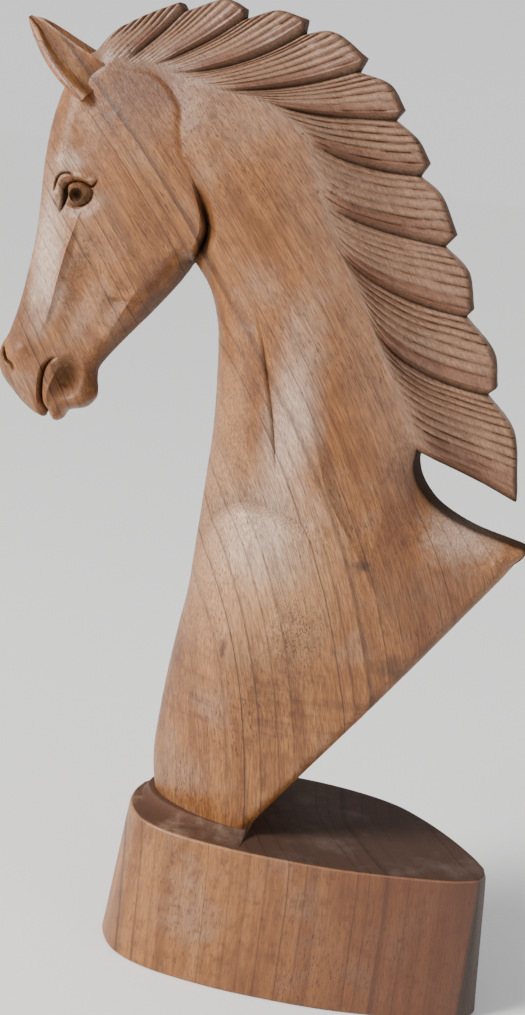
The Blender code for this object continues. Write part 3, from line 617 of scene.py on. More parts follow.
def mane():
    """The locks of one side: places, five marks for each place, faces and the line of the roots."""
    places, heights, shades, strands, fades, rusts, faces = [], [], [], [], [], [], []
    root_places = []
    luck = np.random.default_rng(STRAND_SEED)
    upper_ends = tuple(TOP_EDGE)
    thin = MANE_EDGE_WIDTH / 2 / MILLE
    for number, ((root, sweep, notch, swell, tip), root_bend) in enumerate(zip(LOCKS, ROOT_BENDS)):
        outer = curve([upper_ends[2], swell, tip], 2)
        length = float(np.linalg.norm(np.diff(outer, axis=0), axis=1).sum())
        count = max(3, round(length * MILLE / STRAND_PITCH))
        columns = np.concatenate([np.linspace(0, STRANDS_END, count * STRAND_SAMPLES + 1), DROP_COLUMNS])
        upper = bend(*upper_ends, MANE_ROWS)
        lower = bend(root, sweep, notch, MANE_ROWS)
        inner = bend(upper_ends[0], root_bend, root, columns)
        last = len(DROP_COLUMNS)
        to_tip = at_shares(outer, columns[:-last] / STRANDS_END)
        to_notch = [to_tip[-1] + (np.array(notch) - to_tip[-1]) * (c - STRANDS_END) / (1 - STRANDS_END)
                    for c in DROP_COLUMNS]
        edge = np.vstack([to_tip, to_notch])
        root_places.append(inner)
        v, w = columns[None, :, None], MANE_ROWS[:, None, None]
        corners = ((1 - v) * (1 - w) * inner[0] + v * (1 - w) * inner[-1]
                   + (1 - v) * w * edge[0] + v * w * edge[-1])
        grid = ((1 - v) * upper[:, None] + v * lower[:, None]
                + (1 - w) * inner[None] + w * edge[None] - corners)

        # Each lock swells towards its lower edge, drops to the next one, and is bevelled at its tips
        at_root, root_shade = in_blocks(figure_surface, inner)
        v, w = columns[None, :], MANE_ROWS[:, None]
        height = thin + (1 - smooth(w / 0.75)) * (at_root - thin)[None]
        across = np.clip(v / STRANDS_END, 0, 1)
        drop = smooth((1 - v) / (1 - STRANDS_END))
        lock_rise = (0.1 + 0.9 * across ** 1.3) * drop * (LOCK_RISE / MILLE) * smooth(w / 0.3)
        bevel = 1 - 0.3 * smooth((w - 0.97) / 0.03)
        height = (height + lock_rise) * bevel

        # Painted shade where the lock above lies over it, down the drop to the next one, and along its tips
        under = smooth(1 - v / 0.035) * smooth((w - 0.1) / 0.25) if number else np.zeros_like(v * w)
        shade = np.maximum(under * 0.5, smooth((0.55 - drop) / 0.5) * 0.9 * smooth((w - 0.05) / 0.2))
        shade = np.maximum(shade, 0.6 * smooth((w - 0.975) / 0.02) * smooth((across - 0.25) / 0.3))

        # Each strand starts a little sooner or later, and is cut less deep where the strands crowd together
        start = 0.12 * luck.random(count + 1)[np.minimum(across * count, count).astype(int)]
        widths = np.linalg.norm(np.diff(grid, axis=1), axis=2)[:, :-last]
        pitch = widths.sum(axis=1)[:, None] / count * MILLE
        fade = smooth((w - start) / 0.14) * np.clip(pitch / STRAND_PITCH, 0, 1) ** 1.2
        fade = np.where(v > STRANDS_END, 0, fade)
        fade[-2:] *= 0.4
        rust = smooth((v - 0.70) / 0.1) * smooth((0.975 - v) / 0.03) * smooth(w / 0.3) * (1 - 0.5 * w)

        first = sum(len(p) for p in places)
        places.append(grid.reshape(-1, 2))
        heights.append(height.reshape(-1))
        shades.append(np.maximum(shade, root_shade[None] * (1 - smooth(w / 0.1))).reshape(-1))
        strands.append((number * NUMBERS_PER_LOCK + across * count * np.ones_like(w)).reshape(-1))
        fades.append(fade.reshape(-1))
        rusts.append(rust.reshape(-1))
        width = len(columns)
        for j in range(len(MANE_ROWS) - 1):
            for i in range(width - 1):
                a = first + j * width + i
                faces.append((a, a + 1, a + 1 + width, a + width))
        upper_ends = (root, sweep, notch)
    joined = [np.concatenate(column) for column in (heights, shades, strands, fades, rusts)]
    return np.vstack(places), joined, faces, np.vstack(root_places)


def without_repeats(ring):
    return [v for i, v in enumerate(ring) if v != ring[i - 1]]


def figure_mesh():
    """Both sides of the figure, joined along the outline, with the marks that the carving needs."""
    lock_places, (lock_heights, lock_shades, strands, fades, rusts), lock_faces, root_places = mane()
    body_places, body_faces = body(root_places)
    body_heights, body_shades = in_blocks(figure_surface, body_places)
    blank = np.zeros(len(body_places))
    differs = np.linalg.norm(np.diff(root_places, axis=0), axis=1) > SAME_PLACE
    root_line = root_places[np.append(True, differs)]

    # The neck is greyed near the mane's root, but not in front of the head's edge
    from_root = in_blocks(lambda at: from_line(at, root_line)[:1], body_places)[0]
    greyed = 0.6 * smooth(1 - from_root / GREYED_REACH)
    distance, side, _ = from_line(body_places, np.array(HEAD_EDGE, float))
    greyed *= smooth(0.5 + np.where(body_places[:, 1] > 700, side * distance / 16, 1))
    places = np.vstack([lock_places, body_places])
    pairs = [(lock_heights, body_heights), (lock_shades, body_shades), (strands, blank), (fades, blank),
             (rusts, blank), (np.ones(len(lock_places)), greyed)]
    marks = np.column_stack([np.concatenate(pair) for pair in pairs])
    faces = [tuple(f) for f in lock_faces] + [tuple(i + len(lock_places) for i in f) for f in body_faces]

    # One index for each place, so that the locks and the neck share their line
    index, kept, merged = {}, [], []
    for number, place in enumerate(places):
        key = (round(place[0] * KEYS_PER_MILLE), round(place[1] * KEYS_PER_MILLE))
        if key not in index:
            index[key] = len(kept)
            kept.append(number)
        merged.append(index[key])
    places, marks = places[kept], marks[kept]
    near = np.column_stack([places[:, 0] * MILLE + FIGURE_SHIFT, -marks[:, 0] * MILLE,
                            places[:, 1] * MILLE + TOP])
    apart = marks[:, 0] * MILLE > 1e-5
    far_index = np.arange(len(near))
    far_index[apart] = len(near) + np.arange(apart.sum())
    verts = np.vstack([near, near[apart] * (1, -1, 1)])
    marks = np.vstack([marks, marks[apart]])
    sides = np.concatenate([np.where(apart, -1.0, 0.0), np.ones(apart.sum())])

    rings, borders = [], set()
    for face in faces:
        ring = without_repeats([merged[i] for i in face])
        if len(ring) < 3:
            continue
        area = sum(places[a][0] * places[b][1] - places[b][0] * places[a][1]
                   for a, b in zip(ring, ring[1:] + ring[:1]))
        if area < 0:
            ring = ring[::-1]
        rings.append(ring)
        rings.append([int(far_index[i]) for i in reversed(ring)])
        borders.update(zip(ring, ring[1:] + ring[:1]))
    for a, b in sorted(borders):
        if (b, a) in borders:
            continue
        ring = without_repeats([b, a, int(far_index[a]), int(far_index[b])])
        if len(ring) > 2:
            rings.append(ring)
    attributes = {"shade": marks[:, 1], "strand": marks[:, 2], "strand_fade": marks[:, 3],
                  "rust": marks[:, 4], "mane": marks[:, 5], "side": sides}
    return verts, rings, attributes


def make_object(name, verts, faces, attributes=None):
    """A mesh object with outward faces and one number for each place in each attribute."""
    mesh = bpy.data.meshes.new(name)
    mesh.from_pydata([tuple(v) for v in verts], [], faces)
    for key, values in (attributes or {}).items():
        layer = mesh.attributes.new(key, "FLOAT", "POINT")
        layer.data.foreach_set("value", np.asarray(values, np.float32))
    work = bmesh.new()
    work.from_mesh(mesh)
    bmesh.ops.recalc_face_normals(work, faces=work.faces)
    work.to_mesh(mesh)
    work.free()
    result = bpy.data.objects.new(name, mesh)
    bpy.context.scene.collection.objects.link(result)
    return result


def ear_mesh(side):
    """One ear: a pointed leaf, square at its root, with a broad front rim and a hollow behind it."""
    line = curve(EAR_LINE, FINE)
    run = np.array(EAR_LINE[-1], float) - EAR_LINE[0]
    across = np.array([run[1], -run[0]]) / np.linalg.norm(run)
    front_wall, rear_wall = EAR_WALL / MILLE, EAR_REAR_WALL / MILLE
    shares, widths = np.array(EAR_WIDTHS).T
    rings, shade = [], []
    for share_along in np.linspace(0.04, 1, 60):
        width = float(np.interp(share_along, shares, widths))
        centre = at_shares(line, [share_along])[0]
        rim = float(np.interp(share_along, *EAR_STAND))
        half = width / 2
        lean = float(np.interp(share_along, [0, 0.35, 1], [22, 8, 2]))
        ring = []
        for turn in np.linspace(0, math.pi, 28):
            back = rim - width * EAR_HOLLOW * math.sin(turn) - lean * (1 + math.cos(turn)) / 2
            ring.append((half * math.cos(turn), back, 0.0))
        # Across the front rim, which is rounded over, then through the hollow to the rear edge, with
        # painted shade deepening into the hollow
        rim_width = min(front_wall, half * 0.9)
        ring += [(-half + rim_width * share, rim + 1.6 * math.sin(math.pi * share), 0.0)
                 for share in (0.12, 0.3, 0.5, 0.7, 0.88)]
        start, end = -half + rim_width, half - min(rear_wall, half * 0.4)
        depth = min(EAR_DEPTH, width * 0.3)
        for share in np.linspace(0, 1, 26):
            bowl = float(smooth(share / 0.24)) * (1 - share) ** 0.8
            across_ear = start + (end - start) * share
            ring.append((across_ear, rim - depth * bowl - lean * share, 0.4 + 0.4 * bowl))
        rings.append([((centre + across * a)[0] * MILLE + FIGURE_SHIFT, side * d * MILLE,
                       (centre + across * a)[1] * MILLE + TOP) for a, d, _ in ring])
        shade.extend(dark for _, _, dark in ring)
    verts, faces = closed_loft(rings)
    return verts, faces, {"shade": np.array(shade) * 0.6}


def base_plan():
    return np.vstack([curve(BASE_NEAR_SIDE, BASE_FINE), BASE_CUT_END, curve(BASE_FAR_SIDE, BASE_FINE)[:-1]])


def base_mesh():
    """The base block with its edge rounded over."""
    plan = base_plan()
    edge = BASE_EDGE_ROUND
    # Each level: its height, its share of the flare, and by how many edge rounds it stands in
    turns = np.linspace(0, math.pi / 2, 7)
    levels = [(edge * (1 - math.sin(a)), 1.0, 1 - math.cos(a)) for a in turns[::-1]]
    levels += [(BASE_HEIGHT * share, 1.0 - share, 0.0) for share in BASE_LEVELS]
    levels += [(BASE_HEIGHT - edge * (1 - math.sin(a)), 0.0, 1 - math.cos(a)) for a in turns]
    levels += [(BASE_HEIGHT, 0.0, 1.0 + share) for share in (2.0, 5.0, 10.0)]
    rings = []
    for height, flare, eased in levels:
        half_length = BASE_LENGTH / 2 + BASE_END_FLARE * flare - edge * eased
        half_width = BASE_WIDTH / 2 + BASE_SIDE_FLARE * flare - edge * eased
        rings.append([(x * half_length, y * half_width, height) for x, y in plan])
    return closed_loft(rings)


def cove_mesh():
    """The low cove that leads from the base's edge up to the foot, cut square behind the foot."""
    rear = UNDERCUT[0][0] * MILLE + FIGURE_SHIFT
    length = (UNDERCUT[0][0] - FOOT_FRONT) * MILLE
    foot_rear = np.array([UNDERCUT[1]]) - (UNDERCUT[1][0] - UNDERCUT[0][0] + FIGURE_SIDE_INSET, 0)
    width = figure_surface(foot_rear)[0][0] * MILLE
    rim = base_plan() * (BASE_LENGTH / 2 - BASE_EDGE_ROUND, BASE_WIDTH / 2 - BASE_EDGE_ROUND) - (rear, 0)
    rim_turns = np.arctan2(rim[:, 1], -rim[:, 0])
    order = np.argsort(rim_turns)
    turns = np.linspace(-math.pi / 2, math.pi / 2, 129)
    reach = np.interp(turns, rim_turns[order], np.linalg.norm(rim, axis=1)[order])
    foot = np.column_stack([-length * np.cos(turns), width * np.sin(turns)])
    edge = np.column_stack([-reach * np.cos(turns), reach * np.sin(turns)])
    rings = []
    for spread, height in curve(COVE_PROFILE, 0.05):
        rings.append([(rear + x, y, TOP + height * COVE_HEIGHT) for x, y in foot + (edge - foot) * spread])
    return closed_loft(rings)


def closed_loft(rings):
    """Rings of as many places each, joined one to the next and closed at both ends."""
    count = len(rings[0])
    faces = [tuple(reversed(range(count)))]
    for level in range(len(rings) - 1):
        for i in range(count):
            a, b = level * count + i, level * count + (i + 1) % count
            faces.append((a, b, b + count, a + count))
    faces.append(tuple((len(rings) - 1) * count + i for i in range(count)))
    return [place for ring in rings for place in ring], faces


class Nodes:
    """Short ways to add and join nodes of one tree."""

    def __init__(self, tree):
        self.tree = tree

    def add(self, kind, inputs=None, **settings):
        node = self.tree.nodes.new(kind)
        for key, value in settings.items():
            setattr(node, key, value)
        for key, value in (inputs or {}).items():
            self.feed(node.inputs[key], value)
        return node

    def feed(self, socket, value):
        if isinstance(value, bpy.types.NodeSocket):
            self.tree.links.new(value, socket)
        else:
            socket.default_value = value

    def math(self, operation, *values, clamp=False):
        node = self.add("ShaderNodeMath", dict(enumerate(values)), operation=operation, use_clamp=clamp)
        return node.outputs[0]

    def times(self, *values, clamp=False):
        return self.math("MULTIPLY", *values, clamp=clamp)

    def plus(self, *values, clamp=False):
        return self.math("ADD", *values, clamp=clamp)

    def minus(self, *values, clamp=False):
        return self.math("SUBTRACT", *values, clamp=clamp)

    def vector(self, operation, *values, **named):
        """A vector, or a number where the operation is LENGTH."""
        node = self.add("ShaderNodeVectorMath", dict(enumerate(values), **named), operation=operation)
        return node.outputs["Value" if operation == "LENGTH" else "Vector"]

    def separate(self, value):
        return self.add("ShaderNodeSeparateXYZ", {0: value}).outputs

    def combine(self, x, y, z):
        return self.add("ShaderNodeCombineXYZ", {0: x, 1: y, 2: z}).outputs[0]

    def noise(self, place, scale, detail=2.0, roughness=0.5):
        node = self.add("ShaderNodeTexNoise", {"Vector": place, "Scale": scale, "Detail": detail,
                                               "Roughness": roughness})
        return node.outputs[0]

    def ease(self, value, low, high, start=0.0, end=1.0):
        """A smooth step of value from low to high."""
        limits = {"From Min": low, "From Max": high, "To Min": start, "To Max": end}
        node = self.add("ShaderNodeMapRange", dict(limits, Value=value), interpolation_type="SMOOTHSTEP")
        return node.outputs[0]

    def ramp(self, value, stops):
        node = self.add("ShaderNodeValToRGB", {0: value})
        points = node.color_ramp.elements
        while len(points) < len(stops):
            points.new(1.0)
        for point, (place, level) in zip(points, stops):
            point.position = place
            point.color = (level, level, level, 1.0)
        return node.outputs[0]

    def blend(self, share, a, b, mode="MIX"):
        node = self.add("ShaderNodeMix", data_type="RGBA", blend_type=mode)
        for name, value in (("Factor_Float", share), ("A_Color", a), ("B_Color", b)):
            socket = next(s for s in node.inputs if s.identifier == name)
            self.feed(socket, value)
        return next(s for s in node.outputs if s.identifier == "Result_Color")


def gouge_tree():
    """Cuts the strands into the mane: a gouged groove between each two, a little wavy and uneven."""
    tree = bpy.data.node_groups.new("gouged strands", "GeometryNodeTree")
    interface = tree.interface
    interface.new_socket("Geometry", in_out="INPUT", socket_type="NodeSocketGeometry")
    for name, kind in (("Groove Depth", "Float"), ("Waviness", "Float"), ("Wave Length", "Float"),
                       ("Unevenness", "Float"), ("Seed", "Int"), ("Wood", "Material")):
        interface.new_socket(name, in_out="INPUT", socket_type="NodeSocket" + kind)
    interface.new_socket("Geometry", in_out="OUTPUT", socket_type="NodeSocketGeometry")
    nodes = Nodes(tree)
    given = nodes.add("NodeGroupInput").outputs

    def attribute(name):
        return nodes.add("GeometryNodeInputNamedAttribute", {"Name": name}, data_type="FLOAT").outputs[0]

    place = nodes.add("GeometryNodeInputPosition").outputs[0]
    normal = nodes.add("GeometryNodeInputNormal").outputs[0]
    per_wave = nodes.math("DIVIDE", 1.0, given["Wave Length"])
    drift = nodes.noise(place, per_wave, 1.0)
    sway = nodes.times(nodes.minus(drift, 0.5), given["Waviness"])
    strand = attribute("strand")
    fade = attribute("strand_fade")
    wandering = nodes.plus(strand, nodes.times(sway, fade))
    ridge = nodes.math("ABSOLUTE", nodes.math("SINE", nodes.times(wandering, math.pi)))
    valley = nodes.minus(1.0, nodes.math("POWER", ridge, 0.85))
    luck = nodes.add("FunctionNodeRandomValue", {"Min": 0.55, "Max": 1.15, "Seed": given["Seed"],
                                                 "ID": nodes.math("FLOOR", wandering)}, data_type="FLOAT")
    lift = next(s for s in luck.outputs if s.type == "VALUE" and s.enabled)
    groove = nodes.times(nodes.times(valley, fade), lift)
    depth = nodes.times(groove, given["Groove Depth"])
    inward = nodes.times(depth, nodes.times(attribute("side"), -1.0))
    cut = nodes.combine(0.0, inward, 0.0)
    rough = nodes.minus(nodes.noise(place, 190.0, 2.0), 0.5)
    rough = nodes.times(rough, given["Unevenness"])
    offset = nodes.vector("ADD", cut, nodes.vector("SCALE", normal, Scale=rough))
    moved = nodes.add("GeometryNodeSetPosition", {"Geometry": given["Geometry"], "Offset": offset})
    # The groove's depth is kept so that shade can be painted into the valleys
    stored = nodes.add("GeometryNodeStoreNamedAttribute", {"Geometry": moved.outputs[0], "Name": "groove"},
                       data_type="FLOAT", domain="POINT")
    nodes.feed(next(s for s in stored.inputs if s.name == "Value" and s.enabled), groove)
    real = nodes.add("GeometryNodeRealizeInstances", {"Geometry": stored.outputs[0]})
    painted = nodes.add("GeometryNodeSetMaterial", {"Geometry": real.outputs[0], "Material": given["Wood"]})
    nodes.add("NodeGroupOutput", {"Geometry": painted.outputs[0]})
    return tree


def gouge(obj, material):
    """Runs the strand cutter on obj and keeps its result as obj's mesh."""
    modifier = obj.modifiers.new("gouged strands", "NODES")
    modifier.node_group = gouge_tree()
    values = {"Groove Depth": GOUGE_DEPTH, "Waviness": 1.3, "Wave Length": 0.045, "Unevenness": 0.0003,
              "Seed": GOUGE_SEED, "Wood": material}
    for socket in modifier.node_group.interface.items_tree:
        if socket.item_type == "SOCKET" and socket.in_out == "INPUT" and socket.name in values:
            modifier[socket.identifier] = values[socket.name]
    depsgraph = bpy.context.evaluated_depsgraph_get()
    mesh = bpy.data.meshes.new_from_object(obj.evaluated_get(depsgraph), preserve_all_data_layers=True,
                                           depsgraph=depsgraph)
    obj.modifiers.remove(modifier)
    old = obj.data
    obj.data = mesh
    bpy.data.meshes.remove(old)
    mesh.name = obj.name


def trunk(nodes):
    """Where a place lies in the trunk.

    Gives the place, its three parts, the way across the trunk, the place squeezed along
    the grain, and the radius of its growth ring.
    """
    place = nodes.add("ShaderNodeTexCoord").outputs["Object"]
    x, y, z = nodes.separate(place)
    # The trunk leans forward with height, so the growth lines do too
    above = nodes.math("MAXIMUM", nodes.minus(z, 0.05), 0.0)
    lean = nodes.times(nodes.times(above, above), TRUNK_LEAN)
    u = nodes.plus(x, lean)
    along = nodes.combine(u, y, nodes.times(z, 0.18))
    across = nodes.combine(nodes.minus(u, TRUNK_MIDDLE[0]), nodes.minus(y, TRUNK_MIDDLE[1]), 0.0)
    radius = nodes.vector("LENGTH", across)
    for scale, sway in ((12.0, 0.012), (45.0, 0.0022), (160.0, 0.0005)):
        radius = nodes.plus(radius, nodes.times(nodes.noise(along, scale, 1.0), sway))
    crowding = nodes.noise(nodes.combine(radius, 0.0, 0.0), 75.0, 1.0)
    radius = nodes.plus(radius, nodes.times(crowding, 0.022))
    return place, (x, y, z), u, along, radius


def near_spot(nodes, place, spot, radii, raggedness, strength):
    """The strength at the spot, seen from the side, falling to nothing at its ragged edge."""
    x, _, z = nodes.separate(place)
    away = nodes.combine(nodes.math("DIVIDE", nodes.minus(x, spot[0]), radii[0]), 0.0,
                         nodes.math("DIVIDE", nodes.minus(z, spot[1]), radii[1]))
    away = nodes.vector("LENGTH", away)
    ragged = nodes.minus(nodes.noise(place, 3.0 / max(radii), 5.0, 0.65), 0.5)
    away = nodes.plus(away, nodes.times(ragged, raggedness))
    return nodes.ease(away, 1.1, 0.1, 0.0, strength)


def wood_material(name, base=False):
    """Oiled hardwood: growth lines that lean back up the neck, pores, mottling, painted highlights and
    sheen, and painted shade in the cuts.
    """
    material = bpy.data.materials.new(name)
    material.use_nodes = True
    nodes = Nodes(material.node_tree)
    shader = material.node_tree.nodes["Principled BSDF"]
    place, (x, y, z), u, along, radius = trunk(nodes)

    def mark(attribute_name):
        return nodes.add("ShaderNodeAttribute", attribute_name=attribute_name).outputs["Fac"]

    shadow, groove, mane_part, rust = (mark(name) for name in ("shade", "groove", "mane", "rust"))
    smooth_part = nodes.minus(1.0, nodes.times(mane_part, 0.85))

    # Growth lines, each of its own strength, with finer ones between them
    rings = nodes.math("DIVIDE", radius, RING_WIDTH)
    share = nodes.math("FRACT", rings)
    late = nodes.ramp(share, [(0.0, 0.3), (0.04, 0.0), (0.55, 0.03), (0.80, 0.14), (0.90, 0.35),
                              (0.935, 1.0), (0.975, 1.0), (1.0, 0.3)])
    luck = nodes.add("ShaderNodeTexWhiteNoise", {"W": nodes.math("FLOOR", rings)},
                     noise_dimensions="1D").outputs["Value"]
    broken = nodes.ease(nodes.noise(along, 30.0, 2.0), 0.30, 0.55, 0.55, 1.0)
    luck = nodes.plus(nodes.times(nodes.times(luck, luck), 0.75), 0.38)
    late = nodes.times(nodes.times(late, broken), luck)
    fine_late = nodes.ramp(nodes.math("FRACT", nodes.times(rings, 3.7)),
                           [(0.0, 0.3), (0.1, 0.0), (0.6, 0.1), (0.9, 1.0), (1.0, 0.3)])
    late = nodes.plus(late, nodes.times(fine_late, 0.12))
    late = nodes.times(late, smooth_part, clamp=True)

    # Fibres and pores run along the trunk
    def streaks(width, length, detail=1.0):
        streak = nodes.combine(nodes.math("DIVIDE", u, width), nodes.math("DIVIDE", y, width),
                               nodes.math("DIVIDE", z, length))
        return nodes.noise(streak, 1.0, detail)

    fibres = nodes.ease(streaks(0.0007, 0.009, 3.0), 0.32, 0.68)
    pores = nodes.ease(streaks(0.0006, 0.0032), 0.60, 0.70)
    bands = nodes.ease(streaks(0.006, 0.12, 2.0), 0.36, 0.66)
    patches = nodes.noise(place, 26.0, 3.0, 0.6)
    pitted = nodes.ease(nodes.noise(place, 14.0, 2.0), 0.46, 0.62, 0.3, 1.0)

    colour = nodes.blend(nodes.times(bands, 0.8), LIGHT_TAN, WARM_TAN)
    colour = nodes.blend(nodes.ease(patches, 0.50, 0.72, 0.0, 0.6), colour, GREYED)
    colour = nodes.blend(nodes.ease(patches, 0.50, 0.30, 0.0, 0.5), colour, RUSSET)
    mottle = nodes.noise(place, 150.0, 4.0, 0.7)
    colour = nodes.blend(nodes.ease(mottle, 0.48, 0.70, 0.0, 0.6 if base else 0.35), colour, RUSSET)
    # Painted highlights, sheen and shade at places on the figure
    if not base:
        for spot, radii, tint, strength in PAINTED_LIGHT_AND_SHADE:
            colour = nodes.blend(near_spot(nodes, place, spot, radii, 0.8, strength), colour, tint)
    colour = nodes.blend(nodes.times(mane_part, 0.7), colour, MANE_GREY)
    colour = nodes.blend(nodes.times(rust, 0.75), colour, RUST)
    colour = nodes.blend(late, colour, GROWTH_LINE)
    colour = nodes.blend(nodes.times(fibres, 0.32 if base else 0.55), colour, FIBRE, "MULTIPLY")

    # Curly figure across the grain, low on the chest
    start, full, fading, end = CURLY_HEIGHTS
    low = nodes.times(nodes.ease(z, start, full), nodes.ease(z, end, fading))
    curls = nodes.combine(nodes.times(x, 26.0), nodes.times(y, 20.0), nodes.times(z, 250.0))
    curls = nodes.ease(nodes.noise(curls, 1.0, 2.0), 0.46, 0.66)
    colour = nodes.blend(nodes.times(nodes.times(curls, low), 0.35), colour, FIBRE, "MULTIPLY")

    # Knots and stains, then pits and pores, and painted shade in the gouges and cuts
    for spot, radii, tint, strength in SPOTS:
        colour = nodes.blend(near_spot(nodes, place, spot, radii, 1.5, strength), colour, tint)
    if not base:
        near = near_spot(nodes, place, PITTED, PITTED_REACH, 0.8, 1.0)
        pitted = nodes.math("MAXIMUM", pitted, near)
        pits = nodes.ease(nodes.noise(place, 1000.0, 2.0), 0.56, 0.64)
        pores = nodes.math("MAXIMUM", pores, nodes.times(pits, near))
    specks = nodes.times(nodes.times(pores, pitted), 0.72, clamp=True)
    colour = nodes.blend(specks, colour, KNOT)
    groove_shade = nodes.times(nodes.ease(groove, 0.35, 0.95), 0.65)
    colour = nodes.blend(groove_shade, colour, GROOVE_SHADE_BROWN)
    colour = nodes.blend(nodes.times(shadow, 0.96, clamp=True), colour, DEEPEST)

    # Cuts and end grain shine less than the rubbed surface
    gloss = nodes.plus(nodes.times(patches, 0.26), 0.30)
    gloss = nodes.plus(gloss, nodes.times(shadow, 0.5), clamp=True)
    shine = nodes.minus(0.5, nodes.times(shadow, 0.5), clamp=True)

    if base:
        # Darker and redder towards the rear, and nearly black, a painted shade, on its short rear end
        colour = nodes.blend(nodes.ease(x, *REDDENING, 0.0, 0.8), colour, REAR_RED)
        colour = nodes.blend(nodes.ease(x, *REAR_END, 0.0, 0.7), colour, DEEPEST)

        # The end grain of its top is dark, greyed in places, and browner on the ledge in front
        normal = nodes.add("ShaderNodeNewGeometry").outputs["Normal"]
        up = nodes.separate(normal)[2]
        cove = nodes.ease(z, TOP + 0.0003, TOP + 0.0010)
        end_grain = nodes.math("MAXIMUM", nodes.ease(up, 0.80, 0.97), cove)
        grey = nodes.ease(nodes.noise(place, 42.0, 4.0, 0.65), 0.48, 0.78)
        top = nodes.blend(grey, TOP_DARK, TOP_GREY)
        top = nodes.blend(nodes.times(late, 0.5), top, DEEPEST)
        front = nodes.ease(x, *LEDGE_START, 0.0, 0.85)
        ledge = nodes.blend(grey, LEDGE_BROWN, MANE_GREY)
        ledge = nodes.blend(nodes.ease(patches, 0.46, 0.34, 0.0, 0.7), ledge, TOP_DARK)
        top = nodes.blend(front, top, ledge)
        colour = nodes.blend(end_grain, colour, top)

        # A painted highlight along the rounded edge of the top
        painted_edge_highlight = nodes.times(nodes.ease(up, 0.25, 0.5), nodes.ease(up, 0.9, 0.7))
        painted_edge_highlight = nodes.minus(painted_edge_highlight, cove, clamp=True)
        colour = nodes.blend(nodes.times(painted_edge_highlight, 0.25), colour, GREYED)
        gloss = nodes.plus(gloss, nodes.times(end_grain, 0.18))
        shine = nodes.minus(shine, nodes.times(end_grain, 0.38))

    nodes.feed(shader.inputs["Base Color"], colour)
    nodes.feed(shader.inputs["Roughness"], gloss)
    nodes.feed(shader.inputs["Specular IOR Level"], shine)

    # Fibres, pores and growth lines stand in a faint relief
    relief = nodes.minus(nodes.times(fibres, -0.3), pores)
    relief = nodes.minus(relief, nodes.times(late, 0.6))
    bump = nodes.add("ShaderNodeBump", {"Strength": 0.45, "Distance": 0.0004, "Height": relief})
    nodes.feed(shader.inputs["Normal"], bump.outputs[0])
    return material


def plain_material(name, colour, roughness):
    material = bpy.data.materials.new(name)
    material.use_nodes = True
    shader = material.node_tree.nodes["Principled BSDF"]
    shader.inputs["Base Color"].default_value = colour
    shader.inputs["Roughness"].default_value = roughness
    return material


def smooth_shading(obj, angle):
    """Smooth faces, with the edges that turn by more than angle degrees left sharp."""
    obj.data.shade_smooth()
    obj.data.set_sharp_from_angle(angle=math.radians(angle))


def area_light(name, place, target, size, power, colour):
    light = bpy.data.lights.new(name, "AREA")
    light.shape = "DISK"
    light.size = size
    light.energy = power
    light.color = colour
    obj = bpy.data.objects.new(name, light)
    obj.location = place
    obj.rotation_euler = (Vector(target) - Vector(place)).to_track_quat("-Z", "Y").to_euler()
    bpy.context.scene.collection.objects.link(obj)


# The pieces, with the turn in degrees from which an edge is left sharp
FIGURE_SHARP, PLAIN_SHARP = 42, 45
figure_wood = wood_material("oiled hardwood")
base_wood = wood_material("oiled hardwood of the base", base=True)

figure = make_object("carved_figure", *figure_mesh())
gouge(figure, figure_wood)
ears = [make_object("ear_" + name, *ear_mesh(side)) for name, side in (("near", -1), ("far", 1))]
block = make_object("base_block", *base_mesh())
cove = make_object("cove_ledge", *cove_mesh())
for obj in ears:
    obj.data.materials.append(figure_wood)
for obj in (block, cove):
    obj.data.materials.append(base_wood)
for obj in (figure, *ears, block, cove):
    smooth_shading(obj, FIGURE_SHARP if obj is figure else PLAIN_SHARP)
    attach(obj, "root")
    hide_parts(NODE)

# A pale floor, which isn't part of the object
FLOOR_REACH = 12.0
floor_mesh = bpy.data.meshes.new("floor")
floor_mesh.from_pydata([(-FLOOR_REACH, -FLOOR_REACH, 0), (FLOOR_REACH, -FLOOR_REACH, 0),
                        (FLOOR_REACH, FLOOR_REACH, 0), (-FLOOR_REACH, FLOOR_REACH, 0)], [], [(0, 1, 2, 3)])
floor = bpy.data.objects.new("floor", floor_mesh)
floor_mesh.materials.append(plain_material("pale floor", PALE_FLOOR, 0.7))
bpy.context.scene.collection.objects.link(floor)

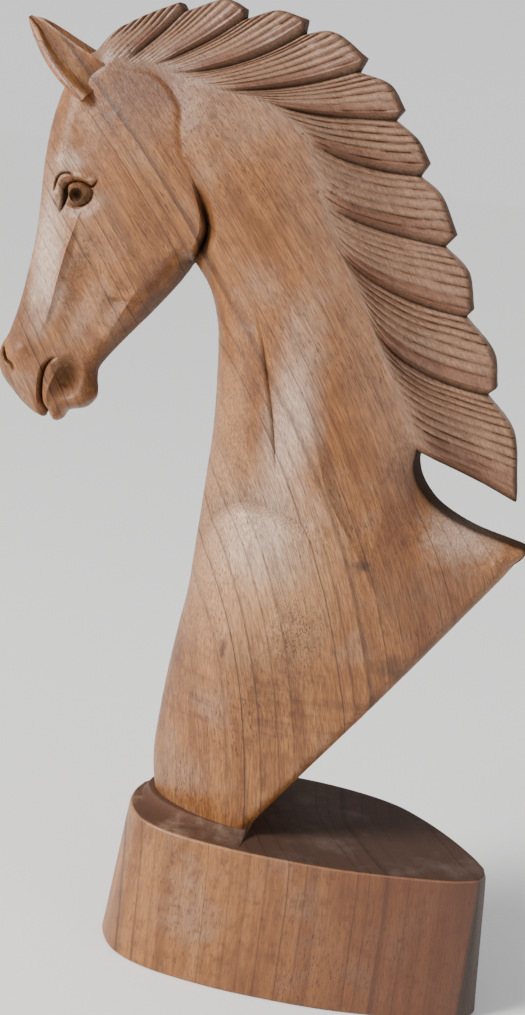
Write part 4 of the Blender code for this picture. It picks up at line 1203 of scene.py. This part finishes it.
# Soft studio light from the upper left in front, a weak fill from the right and a pale room
ROOM_GREY = (0.95, 0.95, 0.96, 1.0)
DAYLIGHT = (1.0, 0.98, 0.95)
SUN_DIRECTION = (1.5, 1.1, -1.1)
world = bpy.data.worlds.new("pale room")
world.use_nodes = True
backdrop = world.node_tree.nodes["Background"]
room = Nodes(world.node_tree)
height = room.separate(room.add("ShaderNodeTexCoord").outputs["Generated"])[2]
backdrop.inputs["Color"].default_value = ROOM_GREY
room.feed(backdrop.inputs["Strength"], room.ease(height, 0.0, 0.5, 1.05, 0.52))
bpy.context.scene.world = world
sun = bpy.data.lights.new("window light", "SUN")
sun.energy = 3.3
sun.angle = math.radians(25)
sun.color = DAYLIGHT
sun_object = bpy.data.objects.new("window light", sun)
sun_object.rotation_euler = Vector(SUN_DIRECTION).to_track_quat("-Z", "Y").to_euler()
bpy.context.scene.collection.objects.link(sun_object)
area_light("key", (-1.3, -1.1, 1.2), (0, 0, 0.3), 0.6, 30.0, DAYLIGHT)
area_light("fill", (1.5, -1.0, 0.9), (0, 0, 0.25), 1.2, 6.0, (0.96, 0.98, 1.0))

# The camera, where the photographer stood
camera_data = bpy.data.cameras.new("camera")
camera_data.sensor_width = SENSOR_WIDTH
camera_data.sensor_fit = "AUTO"
camera_data.lens = FOCAL_PIXELS / PHOTO_HEIGHT * SENSOR_WIDTH
camera_data.clip_start = 0.05
camera = bpy.data.objects.new("camera", camera_data)
yaw, pitch, roll = (math.radians(a) for a in (CAMERA_YAW, CAMERA_PITCH, CAMERA_ROLL))
forward = Vector((-math.sin(yaw) * math.cos(pitch), math.cos(yaw) * math.cos(pitch), -math.sin(pitch)))
level = Vector((math.cos(yaw), math.sin(yaw), 0))
upward = level.cross(forward)
right = math.cos(roll) * level + math.sin(roll) * upward
up = -math.sin(roll) * level + math.cos(roll) * upward
turn = Matrix((right, up, -forward)).transposed()
camera.matrix_world = Matrix.Translation(CAMERA_PLACE) @ turn.to_4x4()
bpy.context.scene.collection.objects.link(camera)
bpy.context.scene.camera = camera
